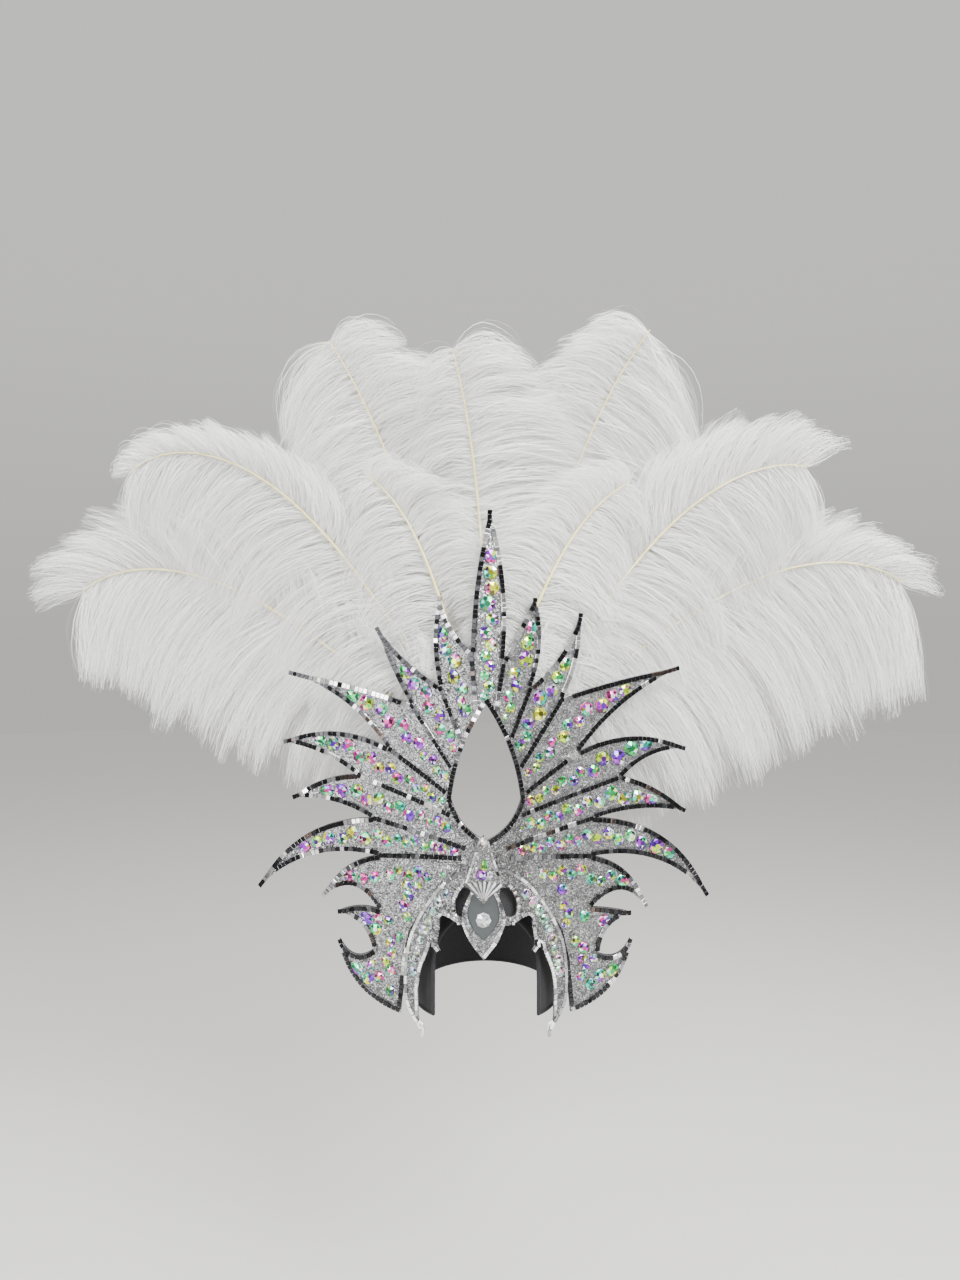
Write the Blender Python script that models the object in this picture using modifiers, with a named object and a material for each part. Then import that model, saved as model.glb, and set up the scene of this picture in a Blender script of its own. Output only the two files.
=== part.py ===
"""A carnival headdress: a black cap carries a bent plate with jewelled spikes, a face frame and plumes.

The origin is the head seat, the top of the inside of the cap. X runs to the viewer's right, Y away from the
viewer and Z up. The flat pieces are drawn as cut from sheet, across and up, and then bent round the head.
Shares of a width or a height are chosen by hand from the real outline. Lengths are in metres.
"""

import math

import bmesh
import bpy
from mathutils import Matrix, Vector

# Clearances and sheet thicknesses
GAP = 0.0003
PLATE_THICKNESS = 0.004
FACING_THICKNESS = 0.001
TAPE_THICKNESS = 0.001
FRAME_THICKNESS = 0.003
PANEL_THICKNESS = 0.0025
CREST_THICKNESS = 0.003

# The bend that the flat pieces take round the head, seen from above
PLATE_FRONT = -0.100
BROW_DEPTH = 0.040
BROW_HALF_WIDTH = 0.060
SIDE_RADIUS = 0.600
INNER_STATION_SPACE = 0.027
INNER_STATION_COUNT = 3
OUTER_STATION_SPACE = 0.055
OUTER_STATION_COUNT = 4

# The cap
CAP_INNER = (0.077, 0.098, 0.115)
CAP_WALL = 0.003
CAP_RIM = -0.135
CAP_BACK_SHIFT = -0.004
CAP_SEGMENTS = 24
CAP_RINGS = 12
FACE_HALF_WIDTH = 0.054
FACE_TOP = -0.030
FACE_ARCH_STEPS = 8
CAP_CUTTER = 0.160
BELOW_RIM = 0.030

# The crown plate and its tape
CROWN_HALF_WIDTH = 0.240
CROWN_BOTTOM = -0.137
CROWN_HEIGHT = 0.515
CROWN_TAPE = 0.0046
WINDOW_HALF_WIDTH = 0.035
DIVIDER_TAPE = 0.0046
FIELD_SEAM = -0.0165
FIELD_CUTTER = 0.600
SPIKE_POINTS = 3
WINDOW_POINTS = 3
PETALS_PER_SIDE = 6

# How the lines of tape keep from the edges, in widths of the tape, and how a petal's inside ends in a point
EDGE_MARGIN = 1.1
PETAL_ROOT_INSET = 1.3
PETAL_END_WIDTH = 0.0012
PETAL_POINT = 2.0
PETAL_POINT_SHARE = 0.5
SIDE_PANEL_ROOT = (2.0, -1.4)
SIDE_PANEL_TOP = (0.0, -0.7)
SIDE_PANEL_VALLEY = (-1.3, 0.0)
SIDE_PANEL_FOOT = (-0.2, 2.6)
SIDE_PANEL_EDGE = (1.1, 0.4)
LONGEST_MITRE = 3.0

# The face frame
FRAME_HALF_WIDTH = 0.084
FRAME_TOP = 0.019
FRAME_HEIGHT = 0.175
FRAME_TAPE = 0.0030

# The brow panel and the crest
PANEL_HALF_WIDTH = 0.0215
PANEL_TOP = 0.010
PANEL_HEIGHT = 0.078
PANEL_RIM = 0.005
CREST_HALF_WIDTH = 0.0185
CREST_TOP = 0.056
CREST_HEIGHT = 0.068
GROUP_ACROSS = -0.0025

# The support pad behind the brow
SUPPORT_HALF_WIDTH = 0.034
SUPPORT_TOP = 0.014
SUPPORT_BOTTOM = -0.034
SUPPORT_DEPTH = 0.060

# Stones
STONE_SIDES = 8
STONE_TABLE = 0.58
STONE_HEIGHT = 0.45
DROP_RADIUS = 0.0062
ROUND_RADIUS = 0.0046
DROP_STRETCH = 1.6
ROUNDS_PER_SPIKE = 2
FRAME_STONE_RADIUS = 0.0039
BROW_GEM_RADIUS = 0.0078
CREST_GEM_RADIUS = 0.0058
CREST_TOP_RADIUS = 0.0032
STONE_SINK = 0.0004
STONE_SPACE = 0.0010
SMALLEST_STONE = 0.0024
DROP_ROOM = 0.80
BROW_GEM_DOWN = 0.50
CREST_GEM_DOWN = 0.56
CREST_TOP_GEM_DOWN = 0.10
FAN_ROOT_DOWN = 0.95
FAN_PLEATS = 7
FAN_HALF_ANGLE = 46
FAN_EYE = 0.0012
FAN_LENGTH = 0.0200
FAN_SHORTER = 0.12
FAN_PLEAT_WIDTH = 0.0045

# How far each layer of the front lies towards the viewer from the plate's front
TRIM_DEPTH = 2 * GAP + FACING_THICKNESS
FRAME_DEPTH = TRIM_DEPTH + TAPE_THICKNESS + GAP
PANEL_DEPTH = FRAME_DEPTH + FRAME_THICKNESS + TAPE_THICKNESS + 2 * GAP
CREST_DEPTH = PANEL_DEPTH + 1.5 * PANEL_THICKNESS + GAP

# Plumes
PLUME_LENGTH = 0.460
QUILL_BASE_RADIUS = 0.0023
QUILL_TIP_RADIUS = 0.0008
QUILL_LIFT = 1.25
QUILL_STEPS = 16
BARE_ROWS = 2
VANE_THICKNESS = 0.0014
VANE_WIDTH = 0.160
LOCKS = 6
BARB_COLUMNS = 3
BARB_STEPS = 6
LOCK_NOTCH = 0.20
LOCK_RIPPLE = 0.003
LAYER_SPACING = 0.009
GLUED_LENGTH = 0.018
RUN_BACK = 0.040
FIRST_LAYER = 0.010
NOD_CENTRE_UP = 0.150
NOD_START = 0.240
NOD_REACH = 0.480
NOD_FORWARD = 0.085
NOD_POWER = 1.6

# Each spike from the top one outwards and down: its tip and the valley after it, across and up as shares of
# the crown's half width and height, and the bow of its upper and lower edge as a share of its length.
SPIKE_COLUMNS = ("tip_across", "tip_up", "upper_bow", "lower_bow", "valley_across", "valley_up")
LEFT_SPIKES = (
    (0.196, 0.834, -0.075, 0.060, 0.196, 0.656),
    (0.474, 0.774, -0.050, 0.030, 0.321, 0.620),
    (0.881, 0.680, 0.025, -0.090, 0.421, 0.530),
    (0.906, 0.535, 0.120, -0.070, 0.563, 0.474),
    (0.862, 0.420, 0.085, -0.085, 0.490, 0.388),
    (1.025, 0.227, 0.140, -0.130, 0.463, 0.313),
    (0.719, 0.220, 0.130, -0.300, 0.457, 0.203),
    (0.650, 0.192, 0.100, -0.180, 0.483, 0.123),
    (0.641, 0.136, -0.300, 0.155, 0.365, 0.001),
)
RIGHT_SPIKES = (
    (0.208, 0.831, 0.000, 0.090, 0.188, 0.654),
    (0.410, 0.802, -0.080, 0.070, 0.332, 0.633),
    (0.866, 0.690, 0.020, -0.070, 0.398, 0.522),
    (0.895, 0.521, 0.120, -0.120, 0.598, 0.470),
    (0.895, 0.391, 0.065, -0.070, 0.466, 0.389),
    (1.004, 0.209, 0.155, -0.135, 0.457, 0.312),
    (0.709, 0.199, 0.150, -0.300, 0.452, 0.208),
    (0.639, 0.190, 0.030, -0.200, 0.486, 0.114),
    (0.635, 0.137, -0.250, 0.165, 0.362, 0.003),
)
TOP_SPIKE = {
    "tip": (0.016, 1.000),
    "left_valley": (-0.062, 0.725),
    "left_bow": 0.030,
    "right_valley": (0.075, 0.710),
    "right_bow": 0.050,
}
PLATE_INNER_EDGE = ((0.340, 0.105), (0.310, 0.165), (0.222, 0.232), (0.110, 0.266))

# The inner ends of the lines of tape that run in from each valley, the same on both sides.
DIVIDER_ENDS = (
    (0.042, 0.612),
    (0.098, 0.548),
    (0.135, 0.490),
    (0.152, 0.442),
    (0.150, 0.404),
    (0.085, 0.342),
    (0.100, 0.322),
)
WINDOW_TOP = 0.623
WINDOW_WIDE_UP = 0.436
WINDOW_BOTTOM = 0.358
WINDOW_BOWS = (0.06, 0.12)

# The face frame, one half: across as shares of its half width, down as shares of its height from its top.
FRAME_OUTER = (
    (0.262, 0.000),
    (0.512, 0.086),
    (0.750, 0.240),
    (0.917, 0.400),
    (0.988, 0.549),
    (1.000, 0.743),
    (0.940, 0.857),
)
FRAME_TIP = (0.750, 1.000)
FRAME_INNER = (
    (0.810, 0.909),
    (0.821, 0.806),
    (0.821, 0.714),
    (0.786, 0.611),
    (0.702, 0.503),
    (0.655, 0.446),
)
FRAME_HOOK = (0.548, 0.486)
FRAME_ARC = ((0.583, 0.440), (0.560, 0.360), (0.524, 0.280), (0.298, 0.320))
FRAME_HOLE = ((0.185, 0.085), (0.290, 0.115), (0.365, 0.195), (0.345, 0.262), (0.260, 0.270), (0.150, 0.235))

# The inner edge of the frame's side band and the places of its stones, measured as the frame is.
FRAME_BAND_INNER = (
    (0.500, 0.250),
    (0.620, 0.400),
    (0.702, 0.503),
    (0.786, 0.611),
    (0.821, 0.714),
    (0.821, 0.760),
)
FRAME_STONES = (
    (0.600, 0.225),
    (0.695, 0.305),
    (0.775, 0.395),
    (0.840, 0.490),
    (0.885, 0.590),
    (0.908, 0.690),
)

PANEL_SHAPE = ((0.00, 0.00), (0.48, 0.10), (1.00, 0.45), (0.76, 0.72), (0.00, 1.00))
CREST_SHAPE = ((0.00, 0.00), (0.30, 0.10), (0.62, 0.38), (1.00, 0.71), (0.00, 1.00))

# Each plume: its root across and up as shares of the crown, its length and vane widths as shares, the lean
# of its quill in degrees out from straight up at the root, how far the quill turns along the way and how far
# its end falls over, the heading that its upper barbs fall towards, how far its last barbs spread from the
# quill and how much of the vane's width is left there, the share of the quill that is bare, and its layer,
# counted back from the plate.
PLUME_COLUMNS = (
    "name",
    "side",
    "across",
    "up",
    "length",
    "lean",
    "turn",
    "fall",
    "lower_vane",
    "upper_vane",
    "upper_fall",
    "tip_spread",
    "tip_vane",
    "bare",
    "layer",
)
PLUMES = (
    ("left_low", -1, 0.262, 0.571, 0.98, 51, 12, 66, 1.12, 0.66, 75, 40, 0.85, 0.20, 3),
    ("left_high", -1, 0.212, 0.633, 1.00, 31, 16, 80, 1.05, 0.42, 60, 45, 0.70, 0.20, 2),
    ("left_top", -1, 0.133, 0.627, 0.87, 12, 10, 12, 1.15, 0.80, -125, 85, 0.80, 0.20, 5),
    ("centre", -1, 0.000, 0.647, 0.76, 0, 8, 8, 0.62, 0.90, -120, 78, 0.75, 0.20, 4),
    ("right_top", 1, 0.154, 0.647, 0.88, 10, 14, 14, 1.25, 0.70, -125, 95, 0.80, 0.20, 6),
    ("right_high", 1, 0.225, 0.617, 0.90, 33, 11, 56, 0.95, 0.66, 40, 55, 0.80, 0.20, 2),
    ("right_low", 1, 0.267, 0.579, 1.01, 53, 8, 66, 1.32, 0.56, 75, 40, 0.90, 0.20, 3),
    ("front_left", -1, 0.090, 0.655, 0.54, 14, 10, 30, 0.62, 0.42, -140, 60, 0.70, 0.38, 1),
    ("front_right", 1, 0.083, 0.647, 0.56, 18, 14, 30, 0.55, 0.42, -140, 60, 0.70, 0.38, 0),
)

# How the barbs leave the quill and fall, in degrees, and how the vane's width swells along it
SPREAD_AT_ROOT = 64
SPREAD_POWER = 2
FALL_POWER = 4
LOWER_FALL = 180
LEAST_UPPER_FALL = 10
DROOP = 0.85
CURL_POWER = 1.2
TIP_POWER = 3
VANE_BASE = 0.50
VANE_SWELL = 0.50
VANE_START = 0.15
VANE_RUN = 0.75

COLOURS = {
    "black_felt": ((0.012, 0.012, 0.014), 0.90, 0.0),
    "black_foam": ((0.030, 0.030, 0.032), 0.85, 0.0),
    "silver_glitter": ((0.62, 0.63, 0.66), 0.38, 0.55),
    "mirror_tile": ((0.80, 0.80, 0.82), 0.08, 1.0),
    "crystal": ((0.55, 0.75, 0.62), 0.06, 0.35),
    "grey_glass": ((0.33, 0.34, 0.38), 0.15, 0.30),
    "ostrich_feather": ((0.90, 0.90, 0.87), 0.80, 0.0),
}


def material(name):
    """The named colour as a Principled material, made once."""
    if name in bpy.data.materials:
        return bpy.data.materials[name]
    colour, roughness, metallic = COLOURS[name]
    made = bpy.data.materials.new(name)
    made.use_nodes = True
    shader = made.node_tree.nodes["Principled BSDF"]
    shader.inputs["Base Color"].default_value = (*colour, 1.0)
    shader.inputs["Roughness"].default_value = roughness
    shader.inputs["Metallic"].default_value = metallic
    made.diffuse_color = (*colour, 1.0)
    return made


def rows(columns, table):
    return [dict(zip(columns, row)) for row in table]


def bend(across):
    """How far back the plate's front lies at this distance from the middle."""
    brow = BROW_DEPTH * (1 - 1 / (1 + (across / BROW_HALF_WIDTH) ** 2))
    return PLATE_FRONT + brow + across * across / (2 * SIDE_RADIUS)


def stations():
    """The places across where the bent sheets have a fold line, so that they stay clear of each other."""
    half = [INNER_STATION_SPACE * (number + 1) for number in range(INNER_STATION_COUNT)]
    half += [half[-1] + OUTER_STATION_SPACE * (number + 1) for number in range(OUTER_STATION_COUNT)]
    return [-place for place in half[::-1]] + [0.0] + half


def folded(across):
    """The bend with straight runs between its fold lines, carried on past the last one."""
    lines = stations()
    after = next((i for i, line in enumerate(lines) if line > across), len(lines) - 1)
    after = max(after, 1)
    low, high = lines[after - 1], lines[after]
    share = (across - low) / (high - low)
    return bend(low) + share * (bend(high) - bend(low))


def bent(across, up, depth):
    """A point of a flat sheet after it is bent; depth is towards the viewer from the plate's front."""
    return Vector((across, folded(across) - depth, up))


def bowed(start, end, bow, count):
    """Points along an edge that bows to its left by this share of its length, without its two ends."""
    start, end = Vector(start), Vector(end)
    run = end - start
    left = Vector((-run.y, run.x))
    shares = [(number + 1) / (count + 1) for number in range(count)]
    return [start + run * share + left * bow * 4 * share * (1 - share) for share in shares]


def crown_point(side, across, up):
    return Vector((side * across * CROWN_HALF_WIDTH, CROWN_BOTTOM + up * CROWN_HEIGHT))


def spikes_of(side):
    """Each spike of one side as its two edges: the points above the tip, the tip and the points below it."""
    table = rows(SPIKE_COLUMNS, LEFT_SPIKES if side < 0 else RIGHT_SPIKES)
    valley = TOP_SPIKE["left_valley" if side < 0 else "right_valley"]
    before = crown_point(1, *valley)
    found = []
    for row in table:
        tip = crown_point(side, row["tip_across"], row["tip_up"])
        after = crown_point(side, row["valley_across"], row["valley_up"])
        upper = bowed(before, tip, side * row["upper_bow"], SPIKE_POINTS)
        lower = bowed(after, tip, -side * row["lower_bow"], SPIKE_POINTS)
        found.append({"start": before, "upper": upper, "tip": tip, "lower": lower, "end": after})
        before = after
    return found


def top_spike_edges():
    """The points on the top spike's left and right edges, each from its valley up to the tip."""
    tip = crown_point(1, *TOP_SPIKE["tip"])
    left = bowed(crown_point(1, *TOP_SPIKE["left_valley"]), tip, TOP_SPIKE["left_bow"], SPIKE_POINTS)
    right = bowed(crown_point(1, *TOP_SPIKE["right_valley"]), tip, -TOP_SPIKE["right_bow"], SPIKE_POINTS)
    return left, right


def crown_outline():
    """The plate's outer edge, from the tip of the top spike down the left side and up the right."""
    left_edge, right_edge = top_spike_edges()
    points = [crown_point(1, *TOP_SPIKE["tip"])] + left_edge[::-1]
    left = spikes_of(-1)
    points.append(left[0]["start"])
    for spike in left:
        points += spike["upper"] + [spike["tip"]] + spike["lower"][::-1] + [spike["end"]]
    points += [crown_point(-1, *share) for share in PLATE_INNER_EDGE]
    points += [crown_point(1, *share) for share in PLATE_INNER_EDGE[::-1]]
    for spike in spikes_of(1)[::-1]:
        points += [spike["end"]] + spike["lower"] + [spike["tip"]] + spike["upper"][::-1]
    points.append(crown_point(1, *TOP_SPIKE["right_valley"]))
    return points + right_edge


def window_outline():
    """The drop-shaped window."""
    top = Vector((0.0, CROWN_BOTTOM + WINDOW_TOP * CROWN_HEIGHT))
    bottom = Vector((0.0, CROWN_BOTTOM + WINDOW_BOTTOM * CROWN_HEIGHT))
    wide = Vector((WINDOW_HALF_WIDTH, CROWN_BOTTOM + WINDOW_WIDE_UP * CROWN_HEIGHT))
    above, below = WINDOW_BOWS
    right = [bottom] + bowed(bottom, wide, -below, WINDOW_POINTS)
    right += [wide] + bowed(wide, top, -above, WINDOW_POINTS) + [top]
    left = [Vector((-point.x, point.y)) for point in right[-2:0:-1]]
    return right + left


def petal(start, upper, tip, lower, end, inner_start, inner_end):
    """A spike with its root, as matched points on its two edges from its lines' inner ends to the tip."""
    first = [inner_start, start] + upper
    second = [inner_end, end] + lower
    return list(zip(first, second)), tip


def petals():
    """All the petals: the top spike, then those of each side, and the side panels' claws."""
    found = {}
    tip = crown_point(1, *TOP_SPIKE["tip"])
    starts = [crown_point(1, *TOP_SPIKE[name]) for name in ("left_valley", "right_valley")]
    roots = [crown_point(side, *DIVIDER_ENDS[0]) for side in (-1, 1)]
    edges = top_spike_edges()
    found["centre"] = petal(starts[0], edges[0], tip, edges[1], starts[1], roots[0], roots[1])
    for side, name in ((-1, "left"), (1, "right")):
        spikes = spikes_of(side)
        for number, spike in enumerate(spikes[:PETALS_PER_SIDE]):
            inner = [crown_point(side, *DIVIDER_ENDS[number + step]) for step in (0, 1)]
            found[f"{name}_{number + 1}"] = petal(
                spike["start"], spike["upper"], spike["tip"], spike["lower"], spike["end"], *inner
            )
    return found


def interior(matched, tip, margins):
    """A petal's outline moved in from its two edges, ending where the two moved edges meet."""
    near, far = [], []
    for (a, b), (margin_a, margin_b) in zip(matched, margins):
        across = b - a
        width = across.length
        if width <= margin_a + margin_b + PETAL_END_WIDTH:
            break
        along = across / width
        near.append(a + along * margin_a)
        far.append(b - along * margin_b)
    middle = (near[-1] + far[-1]) / 2
    left = (near[-1] - far[-1]).length
    onward = tip - middle
    point = middle + onward.normalized() * min(PETAL_POINT * left, PETAL_POINT_SHARE * onward.length)
    return near + [point] + far[::-1]


def petal_interior(matched, tip):
    """The inside of a petal, within its tape."""
    shared = DIVIDER_TAPE / 2
    edge = CROWN_TAPE * EDGE_MARGIN
    margins = [(shared, shared)] * 2 + [(edge, edge)] * (len(matched) - 2)
    start_a, start_b = matched[0]
    next_a, next_b = matched[1]
    inward = ((next_a + next_b) / 2 - (start_a + start_b) / 2).normalized()
    inset = inward * CROWN_TAPE * PETAL_ROOT_INSET
    moved = [(start_a + inset, start_b + inset)] + matched[1:]
    return interior(moved, tip, margins)


def stepped(point, side, step):
    """A point moved outwards and up by a step in widths of the crown's tape."""
    return point + Vector((side * step[0], step[1])) * CROWN_TAPE


def claws_of(side):
    """The side panel's claws, each as matched points on its two edges, and its tip."""
    found = []
    for spike in spikes_of(side)[PETALS_PER_SIDE:]:
        matched = list(zip([spike["start"]] + spike["upper"], [spike["end"]] + spike["lower"]))
        found.append((matched, spike["tip"]))
    return found


def side_panel_interior(side):
    """The inside of the side panel, which carries the claws, within its tape."""
    claws = claws_of(side)
    first = claws[0][0][0][0]
    points = [stepped(crown_point(side, *DIVIDER_ENDS[-1]), side, SIDE_PANEL_ROOT)]
    points.append(stepped(first, side, SIDE_PANEL_TOP))
    margins = [(CROWN_TAPE, CROWN_TAPE)] * SPIKE_POINTS
    for number, (matched, tip) in enumerate(claws):
        points += interior(matched[1:], tip, margins)
        after = matched[0][1]
        last = number == len(claws) - 1
        points.append(stepped(after, side, SIDE_PANEL_FOOT if last else SIDE_PANEL_VALLEY))
    for share in PLATE_INNER_EDGE[:-1]:
        points.append(stepped(crown_point(side, *share), side, SIDE_PANEL_EDGE))
    return points


def frame_point(side, across, down):
    return Vector((side * across * FRAME_HALF_WIDTH, FRAME_TOP - down * FRAME_HEIGHT))


def frame_outlines():
    """The face frame's outer edge and its two eye-shaped holes."""
    half = list(FRAME_OUTER) + [FRAME_TIP] + list(FRAME_INNER) + [FRAME_HOOK] + list(FRAME_ARC)
    left = [frame_point(-1, *share) for share in half]
    right = [frame_point(1, *share) for share in half[::-1]]
    holes = [[frame_point(side, *share) for share in FRAME_HOLE] for side in (-1, 1)]
    return [left + right] + holes


def moved_in(points, distance):
    """A closed outline moved in by a distance, corner by corner."""
    turning = sum(a.x * b.y - b.x * a.y for a, b in zip(points, points[1:] + points[:1]))
    inward = 1 if turning > 0 else -1
    moved = []
    for before, point, after in zip(points[-1:] + points[:-1], points, points[1:] + points[:1]):
        first = (point - before).normalized()
        second = (after - point).normalized()
        normal_a = Vector((-first.y, first.x)) * inward
        normal_b = Vector((-second.y, second.x)) * inward
        middle = normal_a + normal_b
        reach = min(2.0 / max(middle.length, 1e-3), LONGEST_MITRE)
        moved.append(point + middle.normalized() * distance * reach)
    return moved


def to_mesh_object(curve_object):
    """The curve's evaluated mesh, welded, as a new object in its place."""
    bpy.context.view_layer.update()
    graph = bpy.context.evaluated_depsgraph_get()
    mesh = bpy.data.meshes.new_from_object(curve_object.evaluated_get(graph))
    work = bmesh.new()
    work.from_mesh(mesh)
    bmesh.ops.remove_doubles(work, verts=work.verts, dist=1e-6)
    bmesh.ops.recalc_face_normals(work, faces=work.faces)
    work.to_mesh(mesh)
    work.free()
    made = bpy.data.objects.new(curve_object.name + "_mesh", mesh)
    made.matrix_world = curve_object.matrix_world
    curve = curve_object.data
    bpy.data.objects.remove(curve_object)
    bpy.data.curves.remove(curve)
    return made


def sheet(name, outlines, depth, thickness):
    """A flat sheet with holes, still unbent: X across, Y up, Z the depth towards the viewer."""
    curve = bpy.data.curves.new(name + "_outline", "CURVE")
    curve.dimensions = "2D"
    curve.fill_mode = "BOTH"
    curve.extrude = thickness / 2
    for outline in outlines:
        spline = curve.splines.new("POLY")
        spline.points.add(len(outline) - 1)
        for point, place in zip(spline.points, outline):
            point.co = (place.x, place.y, 0.0, 1.0)
        spline.use_cyclic_u = True
    holder = bpy.data.objects.new(name, curve)
    PARTS.objects.link(holder)
    made = to_mesh_object(holder)
    made.name = name
    made.data.transform(Matrix.Translation((0, 0, depth + thickness / 2)))
    PARTS.objects.link(made)
    return made


def combine(target, tool, operation):
    """Join the tool to the target, or cut it away, and remove the tool."""
    change = target.modifiers.new(operation.lower(), "BOOLEAN")
    change.operation = operation
    change.solver = "EXACT"
    change.object = tool
    bpy.context.view_layer.update()
    graph = bpy.context.evaluated_depsgraph_get()
    mesh = bpy.data.meshes.new_from_object(target.evaluated_get(graph))
    target.modifiers.clear()
    target.data = mesh
    bpy.data.objects.remove(tool)
    return target


def bend_object(target):
    """Give the flat sheet its fold lines, then bend it round the head."""
    work = bmesh.new()
    work.from_mesh(target.data)
    bmesh.ops.dissolve_limit(work, angle_limit=0.002, verts=work.verts, edges=work.edges)
    for line in stations():
        everything = list(work.verts) + list(work.edges) + list(work.faces)
        fold = {"plane_co": (line, 0, 0), "plane_no": (1, 0, 0)}
        bmesh.ops.bisect_plane(work, geom=everything, dist=1e-6, **fold)
    bmesh.ops.triangulate(work, faces=work.faces)
    for vertex in work.verts:
        vertex.co = bent(vertex.co.x, vertex.co.y, vertex.co.z)
    bmesh.ops.remove_doubles(work, verts=work.verts, dist=1e-6)
    bmesh.ops.recalc_face_normals(work, faces=work.faces)
    work.to_mesh(target.data)
    work.free()
    return target


def finish(target, name, colour):
    """Give a finished piece its name, its material and its place in the collection."""
    target.name = name
    target.data.name = name
    target.data.materials.clear()
    target.data.materials.append(material(colour))
    if PARTS.objects.get(name) is None:
        PARTS.objects.link(target)
    return target


def add_stone(work, place, radius, depth, along=None):
    """A cut stone with facets and a flat table; along stretches it into a drop that points that way."""
    height = radius * STONE_HEIGHT
    made = bmesh.ops.create_cone(
        work,
        cap_ends=True,
        segments=STONE_SIDES,
        radius1=radius,
        radius2=radius * STONE_TABLE,
        depth=height + STONE_SINK,
    )["verts"]
    turn = math.atan2(along.y, along.x) if along else math.pi / STONE_SIDES
    for vertex in made:
        if along and vertex.co.x > 0:
            vertex.co.x *= DROP_STRETCH
    lift = depth + (height - STONE_SINK) / 2
    matrix = Matrix.Translation((place.x, place.y, lift)) @ Matrix.Rotation(turn, 4, "Z")
    bmesh.ops.transform(work, matrix=matrix, verts=made)


def stones_object(name, stones, depth):
    """Cut stones in one object, each given as its place, its radius and the direction of a drop or None."""
    work = bmesh.new()
    for place, radius, along in stones:
        add_stone(work, place, radius, depth, along)
    mesh = bpy.data.meshes.new(name)
    work.to_mesh(mesh)
    work.free()
    made = bpy.data.objects.new(name, mesh)
    PARTS.objects.link(made)
    return made


def room_at(place, outline):
    """The distance from a place inside an outline to its nearest edge, or less than nothing outside it."""
    nearest = 1.0
    inside = False
    for a, b in zip(outline, outline[1:] + outline[:1]):
        run = b - a
        share = min(max((place - a).dot(run) / max(run.length_squared, 1e-12), 0.0), 1.0)
        nearest = min(nearest, (place - a - run * share).length)
        if (a.y > place.y) != (b.y > place.y) and place.x < a.x + run.x * (place.y - a.y) / run.y:
            inside = not inside
    return nearest if inside else -nearest


def spike_stones(matched, tip, outline):
    """The drop near a spike's tip and the next stones to its root: place, radius and a drop's direction."""
    middles = [(a + b) / 2 for a, b in matched[1:]] + [tip]
    lengths = [(b - a).length for a, b in zip(middles, middles[1:])]

    def at(distance):
        for place, after, length in zip(middles, middles[1:], lengths):
            if distance <= length:
                return place.lerp(after, distance / length)
            distance -= length
        return tip

    distance = sum(lengths) - 2 * DROP_RADIUS
    while distance > 0 and room_at(at(distance), outline) < DROP_ROOM * DROP_RADIUS + GAP:
        distance -= DROP_RADIUS / 4
    place = at(distance)
    radius = min(DROP_RADIUS, room_at(place, outline) - GAP)
    stones = [(place, radius, (at(distance + 2 * radius) - place).normalized())]
    distance -= radius + ROUND_RADIUS + STONE_SPACE
    for _ in range(ROUNDS_PER_SPIKE):
        place = at(distance)
        radius = min(ROUND_RADIUS, room_at(place, outline) - GAP)
        if distance > 0 and radius > SMALLEST_STONE:
            stones.append((place, radius, None))
        distance -= 2 * ROUND_RADIUS + STONE_SPACE
    return stones


def build_cap():
    """The skull cap: a hollow half of an egg with an arched opening for the face."""
    bpy.ops.mesh.primitive_uv_sphere_add(segments=CAP_SEGMENTS, ring_count=CAP_RINGS, radius=1.0)
    cap = bpy.context.object
    outer = [size + CAP_WALL for size in CAP_INNER]
    cap.data.transform(Matrix.Diagonal((*outer, 1.0)))
    cap.data.transform(Matrix.Translation((0, CAP_BACK_SHIFT, -CAP_INNER[2])))
    bpy.ops.mesh.primitive_uv_sphere_add(segments=CAP_SEGMENTS, ring_count=CAP_RINGS, radius=1.0)
    hollow = bpy.context.object
    hollow.data.transform(Matrix.Diagonal((*CAP_INNER, 1.0)))
    hollow.data.transform(Matrix.Translation((0, CAP_BACK_SHIFT, -CAP_INNER[2])))
    combine(cap, hollow, "DIFFERENCE")
    bpy.ops.mesh.primitive_cube_add(size=2.0)
    below = bpy.context.object
    below.data.transform(Matrix.Scale(CAP_CUTTER, 4))
    below.data.transform(Matrix.Translation((0, 0, CAP_RIM - CAP_CUTTER)))
    combine(cap, below, "DIFFERENCE")
    centre_up = FACE_TOP - FACE_HALF_WIDTH
    arch = [
        Vector((FACE_HALF_WIDTH * math.cos(angle), centre_up + FACE_HALF_WIDTH * math.sin(angle)))
        for angle in (math.pi * number / FACE_ARCH_STEPS for number in range(FACE_ARCH_STEPS + 1))
    ]
    arch.append(Vector((-FACE_HALF_WIDTH, CAP_RIM - BELOW_RIM)))
    arch.append(Vector((FACE_HALF_WIDTH, CAP_RIM - BELOW_RIM)))
    opening = sheet("face_opening", [arch], 0.0, CAP_CUTTER)
    opening.data.transform(Matrix.Rotation(math.pi / 2, 4, "X"))
    combine(cap, opening, "DIFFERENCE")
    for user in list(cap.users_collection):
        user.objects.unlink(cap)
    return finish(cap, "head_cap", "black_felt")


def cap_envelope(clearance):
    """The outside of the cap, larger by a clearance, to cut what seats on it."""
    bpy.ops.mesh.primitive_uv_sphere_add(segments=CAP_SEGMENTS, ring_count=CAP_RINGS, radius=1.0)
    envelope = bpy.context.object
    outer = [size + CAP_WALL + clearance for size in CAP_INNER]
    envelope.data.transform(Matrix.Diagonal((*outer, 1.0)))
    envelope.data.transform(Matrix.Translation((0, CAP_BACK_SHIFT, -CAP_INNER[2])))
    return envelope


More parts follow.
